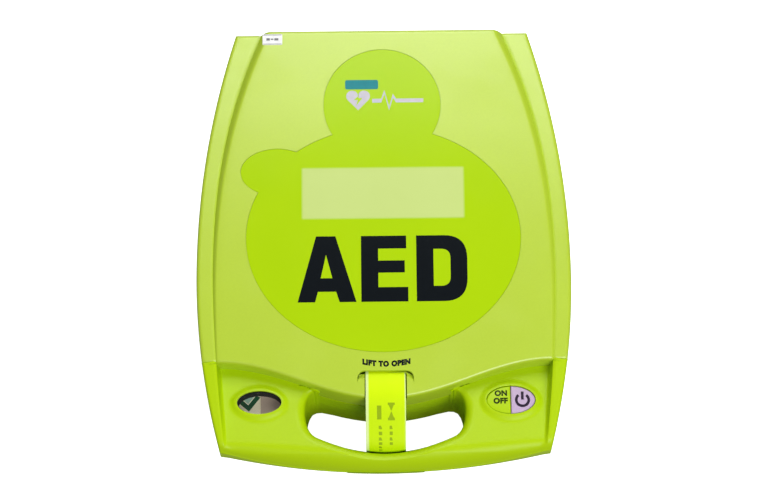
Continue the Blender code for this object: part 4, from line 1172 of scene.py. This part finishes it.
cross = corner + [(-x, y) for x, y in reversed(corner)]
cross += [(-x, -y) for x, y in corner] + [(x, -y) for x, y in reversed(corner)]
printed("status_tick", stencil([tick]), "tick", 0, TICK_AT, "case", level(CARD_Z))
printed("status_patch", stencil([shine]), "mint_painted_glow", 0, TICK_AT, "case", level(CARD_Z))
printed("status_cross", stencil([cross]), "cross", 0, CROSS_AT, "case", level(CARD_Z), turn=math.radians(45))
refined("status_shutter", "shutter", "shutter", 0.15 * MM)
refined("status_card", "card_painted_glow", "case", 0.15 * MM)
print("window's well, glass, card, shutter and three prints")

# %% [markdown]
# ## The power key
# One oval is split in two: a fixed lime plate that carries the words, and a lilac key that moves. Each half
# is a sliced disc with a small dome, its upper edge rounded over, and a thin dark gap all round.


# %% Plate and key
def half_oval(side):
    """Half of the power key's oval, to one side of its split, with a domed top."""
    bm = disc(POWER_AT, POWER_HALF, KEY_DEEP * MM, 0, -0.05, 96)
    split = (POWER_AT[0] - 0.2 + side * 0.15) * MM
    bmesh.ops.bisect_plane(bm, geom=everything(bm), plane_co=(split, 0, 0), plane_no=(-side, 0, 0),
                           clear_outer=True)
    bmesh.ops.holes_fill(bm, edges=[e for e in bm.edges if e.is_boundary], sides=0)
    rim = [e for e in bm.edges if all(abs(v.co.z) < 1e-7 for v in e.verts)]
    bmesh.ops.bevel(bm, geom=rim, offset=0.9 * MM, affect="EDGES", segments=4, profile=0.5, material=-1)
    for i in range(-9, 10):
        slice_at(bm, (0, (POWER_AT[1] + i) * MM, 0), (0, 1, 0))
    for vert in bm.verts:
        if vert.co.z > -2 * MM:
            vert.co.z += key_top(vert.co.x, vert.co.y)
        else:
            vert.co.z = KEY_FOOT
    return bm


def key_top(x, y):
    dx, dy = x / MM - POWER_AT[0], y / MM - POWER_AT[1]
    return (97.75 - 0.05 * dy - 0.6 * (dx / POWER_HALF[0]) ** 2 - 0.3 * (dy / POWER_HALF[1]) ** 2) * MM


FINISH["words"] = ink("ink_olive_dark", (0.018, 0.035, 0.0), 0.4)
FINISH["violet"] = ink("ink_violet", (0.014, 0.004, 0.022), 0.4)
KEY_DEEP, KEY_FOOT = -8.0, 90.4 * MM
piece("power_plate", half_oval(-1), "case", "case", ["power_label_plate"])
piece("power_key_cap", half_oval(1), "lilac", "power_key", ["power_button"])
for word, spot in (("ON", (74.0, -97.9)), ("OFF", (73.6, -103.0))):
    printed("word_" + word.lower(), words(word, 3.4, 0.26, 1.08), "words", 0, spot, "case", key_top,
            step=2 * MM)
RING_R, STROKE = 4.0, 1.7  # mm
OPENING = math.radians(76)  # of the ring, at its top
sweep = (math.pi / 2 + OPENING / 2, math.tau - OPENING, 40)
ring = arc(RING_R + STROKE / 2, *sweep) + arc(RING_R - STROKE / 2, *sweep)[::-1]
bar = oblong(-STROKE / 2, 0.2, STROKE / 2, 5.6)
printed("power_sign", stencil([ring, bar]), "violet", 0, (87.6, -102.4), "power_key", key_top, step=2 * MM)
print("power key and its signs")

# %% [markdown]
# The tab carries the maker's use-by marks, which are replaced by an hourglass, a filled block and short bars.
# They are drawn flat in the strip's own coordinates and then laid along it.

# %% Marks on the tab
MARKS = [
    oblong(-0.52, 0.600, -0.30, 0.645), oblong(0.02, 0.590, 0.36, 0.598), oblong(0.02, 0.640, 0.36, 0.648),
    [(0.06, 0.598), (0.32, 0.598), (0.19, 0.619)], [(0.06, 0.640), (0.19, 0.619), (0.32, 0.640)],
]
for x, span, count in ((-0.44, 0.17, 6), (0.10, 0.15, 4)):
    for i in range(count):
        low, short = 0.665 + 0.019 * i, span * (0.7 + 0.3 * (i % 2))
        MARKS.append([(x, low), (x + short, low), (x + span, low + 0.011), (x, low + 0.011)])
MARKS = [[((x + 0.08) / MM, (0.50 + (y - 0.59) * 1.45) / MM) for x, y in loop] for loop in MARKS]
flat = stencil(MARKS, 0.06 * MM)
bmesh.ops.recalc_face_normals(flat, faces=flat.faces)
piece("pull_strap_marks", along_strap(flat, STRAP_THICK / 2 + 0.02 * MM), "olive", "case", smooth=0)
print("marks:", len(MARKS))

# %% [markdown]
# ## Under the cover
# Lifting the cover off shows the control deck: a graphite membrane with five numbered signs and a lamp
# beside each, a display, an orange shock key in its ring, a speaker behind a drilled grille, the electrode
# socket, and the foil pouch with the pads. Round parts are turned from a profile, as on a lathe.


# %% Finishes of the deck
def band(paint, wire, low, high):
    """1 between low and high, else 0, with a short edge."""
    edge = 0.08 * MM
    return paint.ramp(wire, low - edge, low + edge) * paint.ramp(wire, high + edge, high - edge)


def metal(name, colour, roughness=0.32, stretch=(40, 900, 900)):
    """Rolled or drawn metal: fine lines one way, with dull patches."""
    paint = Paint(name, colour, roughness, 1.0)
    lines = paint.noise(1, 3, place=paint.stretched(stretch))
    dull = paint.ramp(paint.noise(55, 4), 0.45, 0.7)
    paint.set("Base Color", paint.mix(dull, shade(colour, 1.0), shade(colour, 0.8)))
    paint.set("Roughness", roughness + lines * 0.12 + dull * 0.12)
    paint.set("Normal", paint.bump(lines, 0.00003, 0.5))
    return paint.material


def foil():
    """Aluminised film, creased at two scales."""
    colour = (0.62, 0.63, 0.64)
    paint = Paint("pouch_foil", colour, 0.30, 0.85)
    crease, fine = (paint.cells(scale, {"feature": "DISTANCE_TO_EDGE"}) for scale in (95.0, 330.0))
    # The foil's colour is darker along the crease lines.
    off_crease = paint.ramp(crease, 0.0, 0.06)
    paint.set("Base Color", paint.mix(off_crease, shade(colour, 0.86), shade(colour, 1.05)))
    paint.set("Roughness", 0.27 + paint.noise(120, 3) * 0.16)
    paint.set("Normal", paint.bump(crease, 0.0007, 0.55, paint.bump(fine, 0.0001, 0.4)))
    return paint.material


def membrane():
    """A graphite overlay: fine texture, with a pale printed line just inside its border."""
    paint = Paint("overlay_graphite", (0.040, 0.043, 0.050), 0.46)
    x, y = paint.axes()
    across, along = x.math("ABSOLUTE"), (y - 78.5 * MM).math("ABSOLUTE")
    sides = band(paint, across, 86.4 * MM, 87.1 * MM) * paint.ramp(along, 47.1 * MM, 47.0 * MM)
    ends = band(paint, along, 46.4 * MM, 47.1 * MM) * paint.ramp(across, 87.1 * MM, 87.0 * MM)
    frame_line = sides + ends
    base = paint.mix(paint.noise(30, 3), (0.034, 0.037, 0.043, 1), (0.050, 0.053, 0.060, 1))
    paint.set("Base Color", paint.mix(frame_line, base, (0.40, 0.56, 0.02, 1)))
    paint.set("Roughness", 0.44 + paint.ramp(paint.noise(40, 4), 0.5, 0.8) * 0.16)
    paint.set("Normal", paint.bump(paint.noise(3600, 3), 0.00003))
    return paint.material


def rubber(name, colour):
    paint = Paint(name, colour, 0.72, Specular_IOR_Level=0.3)
    dust = paint.ramp(paint.noise(70, 5), 0.5, 0.8)
    paint.set("Base Color", paint.mix(dust * 0.5, (*colour, 1), (0.11, 0.11, 0.105, 1)))
    paint.set("Roughness", 0.66 + dust * 0.2)
    paint.set("Normal", paint.bump(paint.noise(1800, 4, 0.6), 0.00008))
    return paint.material


def board():
    """A circuit board: a green mask over copper tracks, with tinned pads."""
    paint = Paint("board_green", (0.010, 0.105, 0.040), 0.34)
    tracks = paint.node("ShaderNodeTexBrick", {"offset": 0.37, "squash": 0.7, "squash_frequency": 3}, {
        "Vector": paint.place, "Scale": 60.0, "Mortar Size": 0.028, "Brick Width": 0.9,
        "Row Height": 0.22}, 1)
    pads = paint.ramp(paint.cells(150.0, {}, 0.35), 0.20, 0.15)
    mask = paint.mix(tracks, (0.009, 0.095, 0.036, 1), (0.020, 0.175, 0.060, 1))
    paint.set("Base Color", paint.mix(pads, mask, (0.62, 0.60, 0.55, 1)))
    paint.set("Metallic", pads * 0.9)
    paint.set("Roughness", 0.32 + paint.noise(200, 3) * 0.12)
    paint.set("Normal", paint.bump(tracks + pads, 0.00004))
    return paint.material


def cell():
    """A lithium cell's sleeve: dark, with a lime band and a pale end."""
    paint = Paint("cell_wrap", (0.03, 0.035, 0.05), 0.3, Coat_Weight=0.4)
    x = paint.axes()[0].math("ABSOLUTE")
    base = paint.mix(band(paint, x, 24 * MM, 29 * MM), (0.03, 0.035, 0.055, 1), (0.38, 0.56, 0.01, 1))
    paint.set("Base Color", paint.mix(band(paint, x, 6 * MM, 7.2 * MM), base, (0.7, 0.7, 0.68, 1)))
    paint.set("Roughness", 0.28 + paint.noise(90, 3) * 0.18)
    paint.set("Normal", paint.bump(paint.noise(500, 2), 0.00004))
    return paint.material


def winding():
    """Lacquered copper wire, wound in even turns."""
    paint = Paint("copper_coil", (0.62, 0.25, 0.09), 0.3, 0.9)
    turns_of_wire = paint.node("ShaderNodeTexWave", {"bands_direction": "Z"}, {
        "Vector": paint.place, "Scale": 260.0, "Distortion": 0.3}, 1)
    paint.set("Base Color", paint.mix(turns_of_wire, (0.34, 0.12, 0.045, 1), (0.70, 0.30, 0.11, 1)))
    paint.set("Roughness", 0.26 + paint.noise(150, 3) * 0.2)
    paint.set("Normal", paint.bump(turns_of_wire, 0.0003))
    return paint.material


FINISH.update({
    "steel": metal("steel", (0.60, 0.60, 0.61)), "pouch": foil(), "membrane": membrane(),
    "rubber": rubber("rubber", (0.022, 0.022, 0.023)), "board": board(), "cell": cell(), "coil": winding(),
    "orange": plastic("shock_orange", (0.86, 0.13, 0.012), 0.36, drift=0.04, Coat_Weight=0.2),
    "display": glass("display_glass", (0.10, 0.12, 0.09), 0.16, 0.08),
    "lamp": plastic("lamp_green", (0.02, 0.20, 0.06), 0.22, Coat_Weight=0.6),
    "lcd": plastic("display_green", (0.30, 0.36, 0.24), 0.5),
})
print("finishes:", len(FINISH))


# %% Shock key, ring and speaker
def turned(name, profile, at, finish, body, replaced, smooth=35, sides=72):
    """Turns a closed profile, in mm of radius and height, about an upright axis."""
    bm = bmesh.new()
    verts = [bm.verts.new(((at[0] + r) * MM, at[1] * MM, z * MM)) for r, z in profile]
    edges = [bm.edges.new(pair) for pair in zip(verts, verts[1:] + verts[:1])]
    centre = (at[0] * MM, at[1] * MM, 0)
    bmesh.ops.spin(bm, geom=verts + edges, cent=centre, axis=(0, 0, 1), angle=math.tau, steps=sides,
                   use_merge=True)
    bmesh.ops.remove_doubles(bm, verts=bm.verts, dist=0.002 * MM)
    bmesh.ops.dissolve_degenerate(bm, edges=bm.edges, dist=0.001 * MM)
    bmesh.ops.recalc_face_normals(bm, faces=bm.faces)
    return piece(name, bm, finish, body, replaced, smooth)


SHOCK_AT, SPEAKER_AT = (58, 74), (-58, 74)  # mm
dish = [(0.0, 83.4), (4.0, 83.5), (8.0, 83.8), (11.5, 84.4), (13.6, 85.0), (14.8, 85.2), (15.8, 84.9),
        (16.3, 84.2), (16.5, 83.2), (16.5, 75.8), (0.0, 75.8)]
turned("shock_key_cap", dish, SHOCK_AT, "orange", "shock_key", ["shock_button"])
bezel = [(17.2, 80.3), (17.2, 83.6), (17.6, 84.3), (18.4, 84.5), (19.6, 84.3), (20.8, 83.4), (21.4, 81.9),
         (21.5, 80.3)]
turned("shock_key_bezel", bezel, SHOCK_AT, "grey", "case", ["shock_button_ring"])


def dish_z(x, y):
    r = math.hypot(x / MM - SHOCK_AT[0], y / MM - SHOCK_AT[1])
    return (83.4 + 0.006 * r * r) * MM


shock_loops = [heart(15.0, (0, 2.2)), bolt(9.0, (0, 0.2))]
printed("shock_sign", stencil(shock_loops, 0.12 * MM), "white", 0, SHOCK_AT, "shock_key", dish_z, step=2 * MM)
lid = [(0.0, 80.7), (19.6, 80.7), (20.6, 80.3), (21.0, 79.7), (21.0, 79.1), (0.0, 79.1)]
grille = turned("speaker_cover", lid, SPEAKER_AT, "dark", "case", ["speaker_grille"])
PITCH, DRILL_R = 3.3, 0.95 * MM  # mm between rings of holes, and a hole's radius
spots = [spot for k in range(1, 6) for spot in circle(PITCH * k, SPEAKER_AT, 6 * k)]
holes = bmesh.new()
for x, y in spots:
    made = bmesh.ops.create_cone(holes, cap_ends=True, segments=10, radius1=DRILL_R, radius2=DRILL_R,
                                 depth=8 * MM)
    bmesh.ops.translate(holes, verts=made["verts"], vec=(x * MM, y * MM, 80 * MM))
carve(grille, holes)
smoothed(grille, 35)
cone = [(0.0, 73.2), (4.6, 73.6), (6.4, 72.4), (15.0, 75.0), (18.6, 76.6), (20.4, 76.0), (22.0, 77.1),
        (23.0, 77.0), (23.0, 74.6), (16.5, 68.6), (12.5, 67.4), (12.5, 60.4), (12.1, 60.0), (0.0, 60.0)]
turned("speaker_unit", cone, SPEAKER_AT, "dark", "case", ["speaker"])
print("speaker holes:", len(spots))

# %% [markdown]
# The five signs tell the rescuer what to do next. Each is a pale ring with a simple figure, a number and a
# small lamp, so the order can be read without words.

# %% Overlay and its signs
refined("control_overlay", "membrane", "case", 0.12 * MM, 1)
OVERLAY_Z, DISPLAY_Z = 80.8, 77.12  # mm


def limb(ax, ay, bx, by, width):
    """A straight bar of even width between two points in mm."""
    a, b = Vector((ax, ay)), Vector((bx, by))
    side = (b - a).normalized().orthogonal() * width / 2
    return [tuple(a + side), tuple(b + side), tuple(b - side), tuple(a - side)]


def dot(radius, x, y):
    return circle(radius, (x, y), 20)


FIGURES = [
    [dot(1.5, -4.6, 1.2), limb(-2.6, 0.4, 5.6, 0.4, 2.2), limb(-6.4, -2.4, 6.4, -2.4, 0.8)],
    [limb(-4.0, -3.0, -4.0, 3.0, 2.4)] + [limb(-1.0, y, 5.0, y, 1.0) for y in (3.2, 0.6, -2.0)],
    [oblong(-3.6, -5, 3.6, 3.4, 1.6), dot(1.7, 0, 5.6), dot(1.0, 1.6, 0.9), dot(1.0, -1.6, -2.6)],
    [heart(9.6, (0, 1.4)), bolt(5.4, (0, 0.2))],
    [dot(1.6, -3.4, 4.0), limb(-3.4, 2.0, 1.6, -2.4, 1.7), limb(1.8, 2.6, 1.8, -2.2, 1.5),
     limb(-5.4, -4.2, 5.4, -4.2, 1.9)],
]
SIGN_SPOTS = [(-14, 86), (14, 86), (-14, 62), (14, 62), (0, 40)]
SIGN_RING = [circle(9.4), circle(8.7)]
lamp = [(0.0, 81.9), (0.9, 81.7), (1.4, 81.2), (1.5, 80.85), (0.0, 80.85)]


def on_level(name, bm, finish, spot, height):
    """A print on a flat part of the deck."""
    return printed(name, bm, finish, 0, spot, "case", level(height), step=8 * MM)


for number, ((x, y), figure) in enumerate(zip(SIGN_SPOTS, FIGURES), 1):
    on_level(f"guide_sign_{number}", stencil(SIGN_RING + figure), "white", (x, y), OVERLAY_Z)
    on_level(f"guide_number_{number}", words(str(number), 3.0, 0.08), "white", (x + 10.4, y + 7.4), OVERLAY_Z)
    turned(f"guide_lamp_{number}", lamp, (x + 10.4, y - 7.2), "lamp", "case", [], sides=20)
print("signs:", len(FIGURES))

# %% Display and socket
refined("display_window", "display", "case", 0.3 * MM)
refined("display_module", "lcd", "case", 0.4 * MM)
on_level("display_digits", words("0:00", 9.0, 0.3, 1.1), "ash", (-13, 112), DISPLAY_Z)
trace = [(x + 9, y * 0.7 + 48) for x, y in BEAT[:-1]] + [(28, 112.5)]
on_level("display_trace", stencil([pulse(trace, 0.8)]), "ash", (0, 0), DISPLAY_Z)
refined("connector_socket", "grey", "case", 0.6 * MM, 3)
pin = [(0.0, 78.6), (0.7, 78.4), (1.1, 77.6), (1.1, 71.3), (0.0, 71.3)]
for side in (-1, 1):
    turned(f"socket_pin_{side + 2}", pin, (-76 + side * 4.5, 39), "steel", "case", [], sides=16)
print("display, socket and pins")

# %% [markdown]
# ## The pads pouch
# The electrode pads are sealed in a foil pouch: flat at its welded border, puffed and dimpled in the middle.
# The pads inside make the shape, so it is modelled directly as two grids that meet at the border, with the
# upper one raised by a smooth profile and a few long folds.

# %% Pouch
POUCH_AT, POUCH_HALF = Vector((0.0, -24.0)), Vector((82.0, 46.0))  # mm
SEAM_Z, PUFF, BORDER, SHOULDER = 81.2, 13.6, 5.5, 15.0


def pouch_height(x, y):
    """Height above the seam in mm: swollen in the middle, creased, and puckered near the border."""
    inset = min(POUCH_HALF.x - abs(x - POUCH_AT.x), POUCH_HALF.y - abs(y - POUCH_AT.y)) - BORDER
    if inset <= 0:
        return 0.25 * math.sin(x * 1.9) * math.cos(y * 1.3)
    share = min(1.0, inset / SHOULDER)
    swell = math.sin(share * math.pi / 2) ** 0.8
    broad = noise.noise(Vector((x * 0.030, y * 0.045, 2.0)))
    crease = 1 - abs(noise.noise(Vector((x * 0.055, y * 0.075, 7.0)))) * 3.2
    pucker = (1 - share) * noise.noise(Vector((x * 0.30, y * 0.30, 4.0)))
    return PUFF * swell * (0.84 + 0.10 * broad + 0.05 * max(-1.0, crease) + 0.22 * pucker)


bm = bmesh.new()
bmesh.ops.create_grid(bm, x_segments=150, y_segments=90, size=0.5)
bmesh.ops.scale(bm, vec=(*(2 * POUCH_HALF - Vector((0.6, 0.6))) * MM, 1), verts=bm.verts)
bmesh.ops.translate(bm, vec=(*POUCH_AT * MM, 0), verts=bm.verts)
under = set(verts_of(bmesh.ops.duplicate(bm, geom=everything(bm))["geom"]))
for vert in bm.verts:
    lift = -0.5 if vert in under else max(0.3, pouch_height(vert.co.x / MM, vert.co.y / MM))
    vert.co.z = (SEAM_Z + (0 if vert.is_boundary else lift)) * MM
bmesh.ops.remove_doubles(bm, verts=[v for v in bm.verts if v.is_boundary], dist=0.01 * MM)
bmesh.ops.recalc_face_normals(bm, faces=bm.faces)
pouch = piece("pads_pouch", bm, "pouch", "case", ["pads_package"], smooth=60)
torso = rounded([(-13, -15), (13, -15), (17, 9), (9, 15), (-9, 15), (-17, 9)], [4, 4, 5, 4, 4, 5])
pads_print = [torso, oblong(2, 2, 10, 11, 2), oblong(-12, -11, -4, -2, 2)]


def on_pouch(x, y):
    return (SEAM_Z + max(0.3, pouch_height(x / MM, y / MM)) + 0.06) * MM


for side in (-1, 1):
    printed(f"pouch_print_{side + 2}", stencil(pads_print, 0.1 * MM), "teal", 0, (side * 36, POUCH_AT.y),
            "case", on_pouch, step=1.6 * MM)
print("pouch faces:", len(pouch.data.polygons))

# %% [markdown]
# ## Everything else
# The remaining parts are small or hidden: boards, capacitor, transformer and relay, the ten cells behind
# their door, screws, feet and pins. Their solids are right already, so each gets rounded edges and a finish.

# %% Remaining parts
PARTS = [  # finish, slot, radius in mm, body, nodes
    ("rubber", "rubber", 0.3, "case", ["case_gasket"]),
    ("rubber", "rubber", 0.5, "reset_key", ["battery_reset_button"]),
    ("rubber", "rubber", 0.6, "case", [f"foot_{i}" for i in range(1, 5)]),
    ("dark", "dark_plastic", 0.15, "case", ["infrared_window"]),
    ("dark", "dark_plastic", 0.3, "case", ["power_switch", "shock_switch"]),
    ("dark", "dark_plastic", 0.8, "case", ["relay_block"]),
    ("grey", "grey_plastic", 0.2, "case", ["board_ribbon_cable"]),
    ("case", "case_lime", 0.4, "door", ["battery_door"]),
    ("steel", "steel", 0.3, "cover_pivots", ["cover_pivot_pin_left", "cover_pivot_pin_right"]),
    ("steel", "steel", 0.3, "latch", ["battery_door_latch"]),
    ("steel", "steel", 0.2, "case", ["battery_contact_left", "battery_contact_right"]),
    ("steel", "steel", 1.0, "case", ["hv_capacitor"]),
    ("steel", "steel", 0.3, "case", [f"case_screw_{i}" for i in range(1, 7)]),
    ("board", "board_green", 0.1, "case", ["main_board", "power_board", "key_board"]),
    ("coil", "copper_coil", 1.0, "case", ["transformer"]),
    ("coil", "copper_coil", 0.5, "case", ["status_coil"]),
    ("cell", "cell_wrap", 0.5, "case", [f"battery_cell_{i}" for i in range(1, 11)]),
]
for finish, slot, radius, body, nodes in PARTS:
    for node in nodes:
        refined(node, finish, body, radius * MM)
print("parts finished:", sum(len(nodes) for *_, nodes in PARTS))

# %% [markdown]
# The underside is seen when the batteries are changed. The door has moulded ribs for a thumb, and a rating
# plate sits beside it. A real plate is full of small print, which plain bars stand for.

# %% Underside details
BASE_Z, RIBS, RIB_PITCH = 2.0 * MM, 6, 3.4 * MM  # the underside's height, and the ribs a thumb pushes
for i in range(RIBS):
    y = -19 * MM + RIB_PITCH * i
    rib = block(-18 * MM, y, BASE_Z - 0.7 * MM, 18 * MM, y + 1.6 * MM, BASE_Z + 0.3 * MM, 0.7 * MM)
    soften(piece(f"door_rib_{i + 1}", rib, "case", "door", []), 0.25 * MM, 2, 60)
rating = block(47 * MM, 4 * MM, BASE_Z - 0.15 * MM, 81 * MM, 76 * MM, BASE_Z - 0.02 * MM, 2.5 * MM)
piece("rating_plate", rating, "silver", "case", [])
bars = []
for row in range(6):
    low, start = 52 + 4.6 * row, 8
    for k in range(3 + row % 2):
        end = min(72, start + 9 + 5 * ((row * 3 + k * 5) % 4))
        bars.append(oblong(low, start, low + 1.5, end))
        start = end + 2
        if start > 66:
            break
plate_lines = stencil(bars, 0.06 * MM)
bmesh.ops.translate(plate_lines, vec=(0, 0, BASE_Z - 0.2 * MM), verts=plate_lines.verts)
piece("rating_plate_lines", plate_lines, "ink", "case", smooth=0)
print("ribs:", RIBS, "rating bars:", len(bars))
